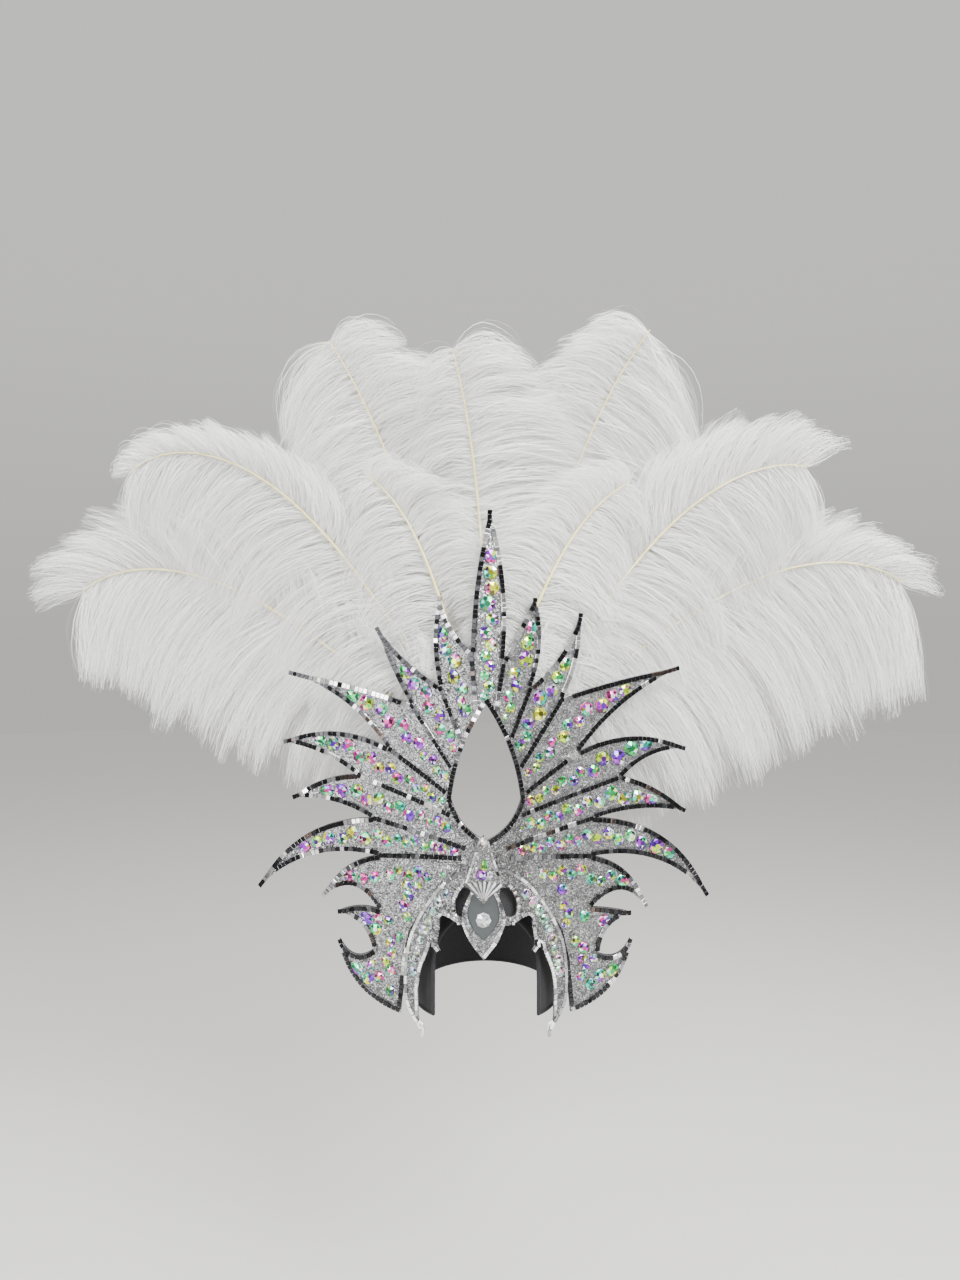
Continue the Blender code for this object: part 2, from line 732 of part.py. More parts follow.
def build_support():
    """The foam pad that carries the plate on the front of the cap: its front follows the plate's back."""
    outline = [
        Vector((-SUPPORT_HALF_WIDTH, SUPPORT_BOTTOM)),
        Vector((SUPPORT_HALF_WIDTH, SUPPORT_BOTTOM)),
        Vector((SUPPORT_HALF_WIDTH, SUPPORT_TOP)),
        Vector((-SUPPORT_HALF_WIDTH, SUPPORT_TOP)),
    ]
    pad = sheet("crown_support", [outline], -PLATE_THICKNESS - GAP - SUPPORT_DEPTH, SUPPORT_DEPTH)
    bend_object(pad)
    combine(pad, cap_envelope(GAP), "DIFFERENCE")
    return finish(pad, "crown_support", "black_foam")


def build_plate():
    plate = sheet("crown_plate", [crown_outline(), window_outline()], -PLATE_THICKNESS, PLATE_THICKNESS)
    return finish(bend_object(plate), "crown_plate", "black_foam")


def half_box(side):
    """A box over one side of the seam between the two facings and half a clearance past it."""
    bpy.ops.mesh.primitive_cube_add(size=2.0)
    box = bpy.context.object
    box.data.transform(Matrix.Scale(FIELD_CUTTER, 4))
    box.data.transform(Matrix.Translation((side * (FIELD_CUTTER - GAP / 2) + FIELD_SEAM, 0, 0)))
    return box


def build_gem_fields():
    """The glitter facing in two halves, each fused with its main stones. The right has the top spike."""
    depth = GAP
    for side, name in ((-1, "left"), (1, "right")):
        facing = sheet("gem_field", [crown_outline(), window_outline()], depth, FACING_THICKNESS)
        stones = []
        for label, (matched, tip) in petals().items():
            if label.startswith(name) or (side > 0 and label == "centre"):
                stones += spike_stones(matched, tip, petal_interior(matched, tip))
        panel = side_panel_interior(side)
        for matched, tip in claws_of(side):
            stones += spike_stones([matched[0]] + matched, tip, panel)
        combine(facing, half_box(-side), "DIFFERENCE")
        combine(facing, stones_object("stones", stones, depth + FACING_THICKNESS), "UNION")
        finish(bend_object(facing), f"gem_field_{name}", "silver_glitter")


def build_trim():
    """The tape along the plate's edge, the window and the lines between the petals."""
    depth = TRIM_DEPTH
    holes = [window_outline()]
    for matched, tip in petals().values():
        holes.append(petal_interior(matched, tip))
    for side in (-1, 1):
        holes.append(side_panel_interior(side))
    trim = sheet("mirror_trim", [crown_outline()] + holes, depth, TAPE_THICKNESS)
    return finish(bend_object(trim), "mirror_trim", "mirror_tile")


def build_frame():
    """The face frame, its tape along both edges and round the holes, and its row of stones on each side."""
    depth = FRAME_DEPTH
    outlines = frame_outlines()
    frame = sheet("face_frame", outlines, depth, FRAME_THICKNESS)
    finish(bend_object(frame), "face_frame", "silver_glitter")

    depth += FRAME_THICKNESS + GAP
    bands = [frame_band(side) for side in (-1, 1)]
    trim = sheet("frame_trim", outlines + bands, depth, TAPE_THICKNESS)
    finish(bend_object(trim), "frame_trim", "mirror_tile")

    for side, name in ((-1, "left"), (1, "right")):
        backing = sheet("frame_gems", [moved_in(frame_band(side), 2 * GAP)], depth, TAPE_THICKNESS)
        stones = [(frame_point(side, *share), FRAME_STONE_RADIUS, None) for share in FRAME_STONES]
        combine(backing, stones_object("stones", stones, depth + TAPE_THICKNESS), "UNION")
        finish(bend_object(backing), f"frame_gems_{name}", "crystal")


def frame_band(side):
    """The middle of the frame's side band, between its two lines of tape, where its stones lie."""
    outer = [frame_point(side, *share) for share in FRAME_OUTER[1:-1]]
    inner = [frame_point(side, *share) for share in FRAME_BAND_INNER]
    return moved_in(outer + inner[::-1], FRAME_TAPE)


def panel_outline(shape, half_width, top, height):
    """An outline that is the same on both sides of the brow group's middle line."""
    right = [Vector((GROUP_ACROSS + across * half_width, top - down * height)) for across, down in shape]
    left = [Vector((2 * GROUP_ACROSS - point.x, point.y)) for point in right[-2:0:-1]]
    return right + left


def build_brow_panel():
    """The kite over the brow: a raised rim round a recess, fused to its plate, and its clear stone."""
    depth = PANEL_DEPTH
    outline = panel_outline(PANEL_SHAPE, PANEL_HALF_WIDTH, PANEL_TOP, PANEL_HEIGHT)
    panel = sheet("brow_panel", [outline], depth, PANEL_THICKNESS)
    rim_outlines = [outline, moved_in(outline, PANEL_RIM)]
    rim = sheet("rim", rim_outlines, depth + PANEL_THICKNESS / 2, PANEL_THICKNESS)
    combine(panel, rim, "UNION")
    finish(bend_object(panel), "brow_panel", "grey_glass")
    place = Vector((GROUP_ACROSS, PANEL_TOP - BROW_GEM_DOWN * PANEL_HEIGHT))
    build_gem("brow_gem", place, BROW_GEM_RADIUS, depth + PANEL_THICKNESS + GAP)


def build_gem(name, place, radius, depth, along=None):
    """A stone by itself, sunk into nothing: its base lies a clearance in front of what carries it."""
    gem = stones_object(name, [(place, radius, along)], depth + STONE_SINK)
    finish(bend_object(gem), name, "crystal")


def build_crest():
    """The shield above the brow, its fan of pleats rising from its foot, and its two stones."""
    depth = CREST_DEPTH
    outline = panel_outline(CREST_SHAPE, CREST_HALF_WIDTH, CREST_TOP, CREST_HEIGHT)
    crest = sheet("crest", [outline], depth, CREST_THICKNESS)
    fan_root = Vector((GROUP_ACROSS, CREST_TOP - FAN_ROOT_DOWN * CREST_HEIGHT))
    for number in range(FAN_PLEATS):
        share = (number + 0.5) / FAN_PLEATS * 2 - 1
        heading = math.radians(share * FAN_HALF_ANGLE)
        reach = FAN_LENGTH * (1 - FAN_SHORTER * share * share)
        outward = Vector((math.sin(heading), math.cos(heading)))
        root = fan_root + outward * FAN_EYE
        tip = fan_root + outward * reach
        side = Vector((math.cos(heading), -math.sin(heading))) * FAN_PLEAT_WIDTH / 2
        outline = [root, tip - side, tip + side]
        pleat = sheet("pleat", [outline], depth + CREST_THICKNESS / 2, CREST_THICKNESS)
        combine(crest, pleat, "UNION")
    finish(bend_object(crest), "crest", "silver_glitter")
    front = depth + CREST_THICKNESS + GAP
    place = Vector((GROUP_ACROSS, CREST_TOP - CREST_GEM_DOWN * CREST_HEIGHT))
    build_gem("crest_gem", place, CREST_GEM_RADIUS, front, Vector((0, 1)))
    place = Vector((GROUP_ACROSS, CREST_TOP - CREST_TOP_GEM_DOWN * CREST_HEIGHT))
    build_gem("crest_top_gem", place, CREST_TOP_RADIUS, front)


def quill_heading(plume, along):
    """Degrees out from straight up at this share of the quill."""
    return plume["lean"] + plume["turn"] * along + plume["fall"] * along ** FALL_POWER


def quill_points(plume, steps):
    """The quill's line across and up, worked out from its headings."""
    place = crown_point(plume["side"], plume["across"], plume["up"])
    step = plume["length"] * PLUME_LENGTH / steps
    points = [place]
    for number in range(steps):
        heading = math.radians(quill_heading(plume, (number + 0.5) / steps))
        place = place + Vector((plume["side"] * math.sin(heading), math.cos(heading))) * step
        points.append(place)
    return points


def quill_place(plume, along):
    """The point of the quill at this share of its length."""
    points = quill_points(plume, QUILL_STEPS)
    number = min(int(along * QUILL_STEPS), QUILL_STEPS - 1)
    return points[number].lerp(points[number + 1], along * QUILL_STEPS - number)


def plume_back(place, layer_depth):
    """How far back a plume lies here: behind the plate by its layer, its outer reach nodding forward."""
    reach = (place - Vector((0.0, NOD_CENTRE_UP))).length
    nod = max(reach - NOD_START, 0.0) / (NOD_REACH - NOD_START)
    return folded(place.x) + layer_depth - NOD_FORWARD * nod ** NOD_POWER


def layer_depth_at(plume, along):
    """The quill starts glued to the plate's back and then runs back to its own layer."""
    glued = PLATE_THICKNESS + GAP + QUILL_LIFT * QUILL_BASE_RADIUS
    full = PLATE_THICKNESS + FIRST_LAYER + LAYER_SPACING * plume["layer"]
    from_root = along * plume["length"] * PLUME_LENGTH
    share = min(max((from_root - GLUED_LENGTH) / RUN_BACK, 0.0), 1.0)
    return glued + (full - glued) * share * share * (3 - 2 * share)


def barb_point(plume, along, side, share):
    """A point of the vane: side is 1 below the quill and -1 above it; share runs from quill to edge."""
    root = quill_place(plume, along)
    vane = (along - plume["bare"]) / (1 - plume["bare"])
    spread = SPREAD_AT_ROOT + (plume["tip_spread"] - SPREAD_AT_ROOT) * vane ** SPREAD_POWER
    heading = quill_heading(plume, along)
    start = heading + side * spread
    if side > 0:
        fall = LOWER_FALL
    elif plume["upper_fall"] > 0:
        fall = max(plume["upper_fall"], heading + LEAST_UPPER_FALL)
    else:
        fall = plume["upper_fall"]
    end = start + (fall - start) * DROOP
    width = VANE_WIDTH * plume["lower_vane" if side > 0 else "upper_vane"]
    swell = math.sin(math.pi * min(vane * VANE_RUN + VANE_START, 1.0))
    tapered = 1 - (1 - plume["tip_vane"]) * vane ** TIP_POWER
    step = width * (VANE_BASE + VANE_SWELL * swell) * tapered * share / BARB_STEPS
    place = root
    for number in range(BARB_STEPS):
        part = (number + 0.5) / BARB_STEPS * share
        turned = math.radians(start + (end - start) * part ** CURL_POWER)
        place = place + Vector((plume["side"] * math.sin(turned), math.cos(turned))) * step
    return place


def build_plume(plume):
    """A plume in one body: a grid whose middle line is the quill and whose rows run out along the locks."""
    count = BARE_ROWS + 2 * LOCKS
    columns = 2 * BARB_COLUMNS
    work = bmesh.new()
    thickness = work.verts.layers.deform.verify()
    grid = bmesh.ops.create_grid(work, x_segments=columns, y_segments=count, size=1.0)["verts"]
    for vertex in grid:
        column = round((vertex.co.x + 1) / 2 * columns) - BARB_COLUMNS
        row = round((vertex.co.y + 1) / 2 * count)
        side = 1 if column > 0 else -1
        share = abs(column) / BARB_COLUMNS
        raised = 0.0
        if row <= BARE_ROWS:
            along = plume["bare"] * row / BARE_ROWS
            place = quill_edge(plume, along, side, share)
        else:
            along = plume["bare"] + (1 - plume["bare"]) * (row - BARE_ROWS) / (2 * LOCKS)
            between_locks = (row - BARE_ROWS) % 2 == 0
            notch = LOCK_NOTCH if between_locks else 0.0
            place = barb_point(plume, along, side, share * (1 - notch * share))
            raised = LOCK_RIPPLE * share * (1 if between_locks else -1)
        vertex.co = (place.x, plume_back(place, layer_depth_at(plume, along)) + raised, place.y)
        radius = QUILL_BASE_RADIUS + (QUILL_TIP_RADIUS - QUILL_BASE_RADIUS) * along
        if column != 0:
            radius = QUILL_BASE_RADIUS if row < BARE_ROWS else VANE_THICKNESS / 2
        vertex[thickness][0] = radius / QUILL_BASE_RADIUS
    bmesh.ops.recalc_face_normals(work, faces=work.faces)
    mesh = bpy.data.meshes.new(plume["name"])
    work.to_mesh(mesh)
    work.free()
    vane = bpy.data.objects.new(plume["name"], mesh)
    vane.vertex_groups.new(name="thickness")
    thicken = vane.modifiers.new("thickness", "SOLIDIFY")
    thicken.thickness = 2 * QUILL_BASE_RADIUS
    thicken.vertex_group = "thickness"
    thicken.offset = 0.0
    finish(vane, "plume_" + plume["name"], "ostrich_feather")


def quill_edge(plume, along, side, share):
    """A point of the bare quill, out to its edge at share 1."""
    heading = math.radians(quill_heading(plume, along))
    outward = Vector((math.cos(heading) * plume["side"], -math.sin(heading)))
    return quill_place(plume, along) + outward * side * share * QUILL_BASE_RADIUS


PARTS = None


def clear_scene():
    for item in list(bpy.data.objects):
        bpy.data.objects.remove(item, do_unlink=True)


def new_collection(name):
    made = bpy.data.collections.new(name)
    bpy.context.scene.collection.children.link(made)
    return made


clear_scene()
PARTS = new_collection("carnival_headdress")
build_cap()
build_support()
build_plate()
build_gem_fields()
build_trim()
build_frame()
build_brow_panel()
build_crest()
for row in rows(PLUME_COLUMNS, PLUMES):
    build_plume(row)
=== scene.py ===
"""The looks of a carnival feather headdress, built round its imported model.

Lengths are in metres: X runs to the viewer's right, Y away from the viewer and Z up, and the head seat is
at zero. The flat pieces are drawn across and up, as cut from sheet, and then bent round the head as the
model is.
"""

import math
import random

import bmesh
import bpy
import numpy as np
from mathutils import Matrix, Vector


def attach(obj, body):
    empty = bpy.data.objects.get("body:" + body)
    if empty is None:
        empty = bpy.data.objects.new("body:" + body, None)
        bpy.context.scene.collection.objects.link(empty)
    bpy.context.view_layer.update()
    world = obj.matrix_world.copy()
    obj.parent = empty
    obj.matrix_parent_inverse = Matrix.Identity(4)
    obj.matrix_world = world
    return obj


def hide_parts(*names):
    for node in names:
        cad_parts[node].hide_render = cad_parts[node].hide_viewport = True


# The photograph's height and focal length in its own pixels, and where the camera stood
PHOTO_HEIGHT = 1280
FOCAL_PIXELS = 961
CAMERA_PLACE = (-0.006, -1.060, 0.248)
SENSOR = 36.0

# Sheet thicknesses and clearances
GAP = 0.0003
PLATE_THICKNESS = 0.004
FACING_THICKNESS = 0.001
TAPE_THICKNESS = 0.001
FRAME_THICKNESS = 0.003
PANEL_THICKNESS = 0.0025
CREST_THICKNESS = 0.003

# The bend round the head
PLATE_FRONT = -0.100
BROW_DEPTH = 0.040
BROW_HALF_WIDTH = 0.060
SIDE_RADIUS = 0.600
SMOOTH_STEP = 0.006
INNER_STATION_SPACE = 0.027
INNER_STATION_COUNT = 3
OUTER_STATION_SPACE = 0.055
OUTER_STATION_COUNT = 4
FAR_SIDE = 1.0

# The cap
CAP_INNER = (0.077, 0.098, 0.115)
CAP_WALL = 0.003
CAP_RIM = -0.135
CAP_BACK_SHIFT = -0.004
CAP_SEGMENTS = 72
CAP_RINGS = 36
FACE_HALF_WIDTH = 0.054
FACE_TOP = -0.030
FACE_ARCH_STEPS = 40
CAP_CUTTER = 0.160
BELOW_RIM = 0.030
HEM_RADIUS = 0.0021
RIM_STEPS = 60

# The crown
CROWN_HALF_WIDTH = 0.240
CROWN_BOTTOM = -0.137
CROWN_HEIGHT = 0.515
CROWN_TAPE = 0.0046
WINDOW_HALF_WIDTH = 0.035
SPIKE_POINTS = 12
WINDOW_POINTS = 10
PETALS_PER_SIDE = 6
EDGE_MARGIN = 1.1
PETAL_ROOT_INSET = 1.3
PETAL_END_WIDTH = 0.0012
PETAL_POINT = 2.0
PETAL_POINT_SHARE = 0.5
SIDE_PANEL_ROOT = (2.0, -1.4)
SIDE_PANEL_TOP = (0.0, -0.7)
SIDE_PANEL_VALLEY = (-1.3, 0.0)
SIDE_PANEL_FOOT = (-0.2, 2.6)
SIDE_PANEL_EDGE = (1.1, 0.4)
LONGEST_MITRE = 3.0

# The face frame, the brow panel and the crest
FRAME_HALF_WIDTH = 0.084
FRAME_TOP = 0.019
FRAME_HEIGHT = 0.175
PANEL_HALF_WIDTH = 0.0215
PANEL_TOP = 0.010
PANEL_HEIGHT = 0.078
CREST_HALF_WIDTH = 0.0185
CREST_TOP = 0.056
CREST_HEIGHT = 0.068
GROUP_ACROSS = -0.0025

# Mirror tiles: the pitch and width in each kind of row, and how often one is dark, bright, brown or grey
CROWN_TILE = (0.0047, 0.0051)
WINDOW_TILE = (0.0042, 0.0050)
FRAME_TILE = (0.0031, 0.0034)
HOLE_TILE = (0.0024, 0.0034)
BROW_TILE = (0.0025, 0.0030)
BROW_BIG_TILE = (0.0054, 0.0040)
CREST_TILE = (0.0040, 0.0022)
OUTER_STRIP = 2.6
INNER_STRIP = 1.8
FRAME_TILES_IN = 0.0019
CREST_TILES_IN = 0.0013
HOLE_TILES_FROM = 0.0215
BROW_BIG_TILES_FROM = 0.72
SILVER_TILES = (0.02, 0.70, 0.03, 0.25)
BRIGHT_TILES = (0.0, 0.95, 0.0, 0.05)
CROWN_TILES = (0.72, 0.12, 0.06, 0.10)
WINDOW_TILES = (0.86, 0.04, 0.04, 0.06)
MIXED_TILES = (0.34, 0.42, 0.06, 0.18)
BRIGHT_EDGES = {"centre": "far", "left_1": "near", "right_1": "far", "right_2": "far"}
NEW_LOOK_CHANCE = 0.36
TILE_HEIGHT = 0.0011
TILE_SEAM = 0.0004
TILE_ROW_SEAM = 0.0003
TILE_REACH = 0.80
TILE_TILT = 0.06
TILE_LIGHT = (0.5, 1.7)
TILE_LEVELS = ((0.0, 0.0), (0.0, 0.80), (0.05, 1.0))
TILE_CORNERS = ((-1, -1), (1, -1), (1, 1), (-1, 1))
GROUT_THICKNESS = 0.0008

# Stones: sizes are radii, and the rings of a cut stone are given as radius, height and turn in shares
STONE_SIDES = 8
STONE_RINGS = ((1.0, 0.0, 0.0), (1.0, 0.10, 0.0), (0.84, 0.24, 0.5), (0.36, 0.40, 0.0))
STRAY_FACET_CHANCE = 0.15
# Painted reflections on the facets: how light or dark each facet is painted, and the painted white glints
FACET_LIGHTS = (0.10, 0.35, 0.70, 1.00, 1.30)
GLINT = (0.86, 0.95, 0.90)
GLINT_CHANCE = 0.12
FEW_GLINTS = 0.06
CLEAR_DIMMEST = 0.7
SPIKE_STONES = (0.0080, 0.0078, 0.0075, 0.0071, 0.0067, 0.0063, 0.0059, 0.0056, 0.0053)
PANEL_STONES = (0.0064, 0.0060, 0.0056)
STONE_MIX = (0.86, 1.12)
STONE_SPACE = 0.0002
STONE_OVER_TAPE = 0.0018
SMALLEST_STONE = 0.0016
STONES_APART = 0.90
SWAY = 0.45
DROP_RADIUS = 0.0062
DROP_STRETCH = 1.6
DROP_ROOM = 0.80
FRAME_STONE_RADIUS = 0.0054
FRAME_STONE_MIX = (0.9, 1.05)
FRAME_STONE_SPACE = 0.0114
CUP_SHARE = 1.14
CUP_SUNK = 0.0010
BROW_GEM_RADIUS = 0.0078
BROW_GEM_DOWN = 0.50
CREST_GEM_DOWN = 0.56
CREST_TOP_RADIUS = 0.0032
CREST_TOP_GEM_DOWN = 0.10

# The foil fan: half its angle in degrees, its length, how much longer its sides are and its notched pleats
FAN_ROOT_DOWN = 0.95
FAN_PLEATS = 7
FAN_HALF_ANGLE = 53
FAN_LENGTH = 0.0200
FAN_LONGER = 0.28
FAN_NOTCH = 0.90
FAN_RINGS = (0.12, 0.45, 0.75, 1.0)
FAN_LOW_FOLD = 0.15
# Painted shade: how dark every other pleat of the foil is painted
FAN_PAINTED_PLEAT_SHADE = 0.12
FAN_CRUMPLE = 0.0002
FAN_LIGHT = (0.55, 1.2)

# How far each layer of the front lies towards the viewer from the plate's front
TRIM_DEPTH = 2 * GAP + FACING_THICKNESS
FRAME_DEPTH = TRIM_DEPTH + TAPE_THICKNESS + GAP
PANEL_DEPTH = FRAME_DEPTH + FRAME_THICKNESS + TAPE_THICKNESS + 2 * GAP
CREST_DEPTH = PANEL_DEPTH + 1.5 * PANEL_THICKNESS + GAP

# Plumes
PLUME_LENGTH = 0.460
QUILL_BASE_RADIUS = 0.0023
QUILL_TIP_RADIUS = 0.0007
QUILL_LIFT = 1.25
VANE_WIDTH = 0.160
LAYER_SPACING = 0.009
GLUED_LENGTH = 0.018
RUN_BACK = 0.040
FIRST_LAYER = 0.010
NOD_CENTRE_UP = 0.150
NOD_START = 0.240
NOD_REACH = 0.480
NOD_FORWARD = 0.085
NOD_POWER = 1.6
SPREAD_AT_ROOT = 64
SPREAD_POWER = 2
FALL_POWER = 4
LOWER_FALL = 180
LEAST_UPPER_FALL = 10
DROOP = 0.85
CURL_POWER = 1.2
VANE_BASE = 0.50
VANE_SWELL = 0.50
VANE_START = 0.15
VANE_RUN = 0.75

# Spikes from the top one outwards and down: the tip and the valley after it, across and up as shares of the
# crown's half width and height, and the bow of the upper and lower edge as a share of its length.
SPIKE_COLUMNS = ("tip_across", "tip_up", "upper_bow", "lower_bow", "valley_across", "valley_up")
LEFT_SPIKES = (
    (0.196, 0.834, -0.075, 0.060, 0.196, 0.656),
    (0.474, 0.774, -0.050, 0.030, 0.321, 0.620),
    (0.881, 0.680, 0.025, -0.090, 0.421, 0.530),
    (0.906, 0.535, 0.120, -0.070, 0.563, 0.474),
    (0.862, 0.420, 0.085, -0.085, 0.490, 0.388),
    (1.025, 0.227, 0.140, -0.130, 0.463, 0.313),
    (0.719, 0.220, 0.130, -0.300, 0.457, 0.203),
    (0.650, 0.192, 0.100, -0.180, 0.483, 0.123),
    (0.641, 0.136, -0.300, 0.155, 0.365, 0.001),
)
RIGHT_SPIKES = (
    (0.208, 0.831, 0.000, 0.090, 0.188, 0.654),
    (0.410, 0.802, -0.080, 0.070, 0.332, 0.633),
    (0.866, 0.690, 0.020, -0.070, 0.398, 0.522),
    (0.895, 0.521, 0.120, -0.120, 0.598, 0.470),
    (0.895, 0.391, 0.065, -0.070, 0.466, 0.389),
    (1.004, 0.209, 0.155, -0.135, 0.457, 0.312),
    (0.709, 0.199, 0.150, -0.300, 0.452, 0.208),
    (0.639, 0.190, 0.030, -0.200, 0.486, 0.114),
    (0.635, 0.137, -0.250, 0.165, 0.362, 0.003),
)
TOP_SPIKE = {
    "tip": (0.016, 1.000),
    "left_valley": (-0.062, 0.725),
    "left_bow": 0.030,
    "right_valley": (0.075, 0.710),
    "right_bow": 0.050,
}
PLATE_INNER_EDGE = ((0.340, 0.105), (0.310, 0.165), (0.222, 0.232), (0.110, 0.266))
DIVIDER_ENDS = (
    (0.042, 0.612), (0.098, 0.548), (0.135, 0.490), (0.152, 0.442),
    (0.150, 0.404), (0.085, 0.342), (0.100, 0.322),
)
WINDOW_TOP = 0.623
WINDOW_WIDE_UP = 0.436
WINDOW_BOTTOM = 0.358
WINDOW_BOWS = (0.06, 0.12)

# The rows of stones on each side panel, measured as the crown is
PANEL_ROWS = (
    ((0.154, 0.289), (0.217, 0.278), (0.304, 0.283), (0.404, 0.281), (0.480, 0.272)),
    (
        (0.260, 0.272), (0.346, 0.250), (0.342, 0.216), (0.358, 0.170),
        (0.396, 0.146), (0.425, 0.107), (0.420, 0.030),
    ),
    ((0.375, 0.190), (0.430, 0.186), (0.470, 0.180)),
    ((0.440, 0.125), (0.500, 0.080), (0.540, 0.062)),
)

# The face frame, one half: across as shares of its half width, down as shares of its height from its top
FRAME_OUTER = (
    (0.262, 0.000), (0.512, 0.086), (0.750, 0.240), (0.917, 0.400),
    (0.988, 0.549), (1.000, 0.743), (0.940, 0.857),
)
FRAME_TIP = (0.750, 1.000)
FRAME_INNER = (
    (0.810, 0.909), (0.821, 0.806), (0.821, 0.714), (0.786, 0.611), (0.702, 0.503), (0.655, 0.446),
)
FRAME_HOOK = (0.548, 0.486)
FRAME_ARC = ((0.583, 0.440), (0.560, 0.360), (0.524, 0.280), (0.298, 0.320))
FRAME_HOLE = ((0.185, 0.085), (0.290, 0.115), (0.365, 0.195), (0.345, 0.262), (0.260, 0.270), (0.150, 0.235))
FRAME_STONES = (
    (0.480, 0.155), (0.600, 0.225), (0.695, 0.305), (0.775, 0.395),
    (0.840, 0.490), (0.885, 0.590), (0.908, 0.690),
)
GLASS_SHAPE = ((0.00, 0.09), (0.44, 0.15), (0.74, 0.42), (0.50, 0.62), (0.00, 0.76))
PANEL_SHAPE = ((0.00, 0.00), (0.48, 0.10), (1.00, 0.45), (0.76, 0.72), (0.00, 1.00))
CREST_SHAPE = ((0.00, 0.00), (0.30, 0.10), (0.62, 0.38), (1.00, 0.71), (0.00, 1.00))

# Each plume: its root on the crown, its length as a share, its bend in degrees and its vanes' widths
PLUME_COLUMNS = (
    "name", "side", "across", "up", "length", "lean", "turn", "fall",
    "lower_vane", "upper_vane", "upper_fall", "tip_spread", "tip_vane", "layer",
)
PLUMES = (
    ("left_low", -1, 0.262, 0.571, 0.98, 51, 12, 66, 1.12, 0.78, 75, 40, 0.85, 3),
    ("left_high", -1, 0.212, 0.633, 1.00, 31, 16, 80, 1.05, 0.42, 60, 45, 0.70, 2),
    ("left_top", -1, 0.133, 0.627, 0.87, 12, 10, 12, 1.15, 0.80, -125, 85, 0.80, 5),
    ("centre", -1, 0.000, 0.647, 0.76, 0, 8, 8, 0.62, 0.90, -120, 78, 0.75, 4),
    ("right_top", 1, 0.154, 0.647, 0.88, 10, 14, 14, 1.25, 0.70, -125, 95, 0.80, 6),
    ("right_high", 1, 0.225, 0.617, 0.90, 33, 11, 56, 0.95, 0.66, 40, 55, 0.80, 2),
    ("right_low", 1, 0.267, 0.579, 1.01, 53, 8, 66, 1.32, 0.56, 75, 40, 0.90, 3),
    ("front_left", -1, 0.090, 0.655, 0.54, 14, 10, 30, 0.66, 0.52, -140, 60, 0.70, 1),
    ("front_right", 1, 0.083, 0.647, 0.56, 18, 14, 30, 0.60, 0.52, -140, 60, 0.70, 0),
)
BARE_SHARE = 0.05
TIP_POWER = 3
QUILL_FORWARD = 0.0062
CLEAR_OF_PLATE = 0.0058
BARBS_PER_TUFT = 3
TUFT_PULL = 0.42
BARB_PITCH = 0.0036
STRANDS_PER_BARB = 28
STRAND_STEPS = 8
STRAND_WIDTH = 0.00048
STRAND_TAPER = 0.75

# How unevenly tufts, barbs and strands grow: their start in degrees, and their droop and reach as shares
TUFT_START = 5.0
TUFT_DROOP = 0.09
TUFT_REACH = 0.05
TUFT_BACK = 0.006
TUFT_POWER = 1.6
BARB_START = 5.5
BARB_DROOP = 0.09
BARB_REACH = 0.06
BARB_SHIFT = 0.4
STRAND_START = 4.5
STRAND_DROOP = 0.08
STRAND_SHORTER = 0.45
STRAND_LIGHT = (0.92, 0.04)
FLUFF = 0.0052
FLUFF_BACK = 1.5
WAVE = 0.0030

# The stage
FLOOR_UP = -0.62
FLOOR_RADIUS = 9.0
SKY_STRENGTH = 0.80
LIGHTS_AIM = (0, 0, 0.15)
LIGHTS = (
    ("key", (0.9, -1.7, 1.6), 1.2, 120.0),
    ("fill", (-1.3, -1.6, 0.7), 1.5, 40.0),
    ("top", (0.2, -0.2, 1.9), 1.6, 60.0),
)

# What the mirror tiles and the stones' facets show of the room
TILE_LOOKS = {
    "dark": (0.014, 0.014, 0.017),
    "bright": (0.92, 0.92, 0.94),
    "brown": (0.085, 0.060, 0.052),
    "grey": (0.30, 0.30, 0.32),
}
STONE_LOOKS = (
    (0.42, 0.62, 0.01), (0.66, 0.66, 0.03), (0.01, 0.46, 0.10), (0.01, 0.42, 0.30),
    (0.05, 0.58, 0.26), (0.12, 0.01, 0.42), (0.28, 0.02, 0.50), (0.58, 0.03, 0.28),
)
CUP_LOOKS = ((0.70, 0.70, 0.72), (0.50, 0.50, 0.52))
CLEAR_LOOKS = ((0.50, 0.52, 0.52), (0.30, 0.32, 0.32), (0.85, 0.86, 0.88), (0.40, 0.42, 0.40))
GREEN_LOOKS = ((0.40, 0.62, 0.01), (0.58, 0.68, 0.03), (0.08, 0.45, 0.12), (0.48, 0.66, 0.02))
PURPLE_LOOKS = ((0.20, 0.00, 0.48), (0.38, 0.01, 0.52), (0.12, 0.00, 0.30))
WHITE_LOOKS = ((0.80, 0.80, 0.84), (0.60, 0.60, 0.66), (0.75, 0.62, 0.85))
PINK_LOOKS = ((0.75, 0.50, 0.48), (0.85, 0.76, 0.70), (0.55, 0.32, 0.36))
FOIL_LOOKS = ((1.0, 1.0, 1.0), (0.88, 1.0, 0.94), (1.0, 0.92, 0.98), (0.92, 0.94, 1.0))

# The crest's stones: how far across and up, heading in degrees, radius, stretch, glints and looks
CREST_STONES = (
    (-0.0022, -0.0012, 0, 0.0053, 1.0, FEW_GLINTS, PURPLE_LOOKS),
    (0.0010, 0.0064, 90, 0.0036, 2.4, FEW_GLINTS, GREEN_LOOKS),
    (0.0062, -0.0010, 0, 0.0034, 1.0, GLINT_CHANCE, WHITE_LOOKS),
)


def rows(columns, table):
    return [dict(zip(columns, row)) for row in table]


def bend(across):
    """How far back the plate's front lies at this distance from the middle."""
    brow = BROW_DEPTH * (1 - 1 / (1 + (across / BROW_HALF_WIDTH) ** 2))
    return PLATE_FRONT + brow + across * across / (2 * SIDE_RADIUS)


def bend_slope(across):
    share = across / BROW_HALF_WIDTH
    return BROW_DEPTH * 2 * share / BROW_HALF_WIDTH / (1 + share * share) ** 2 + across / SIDE_RADIUS


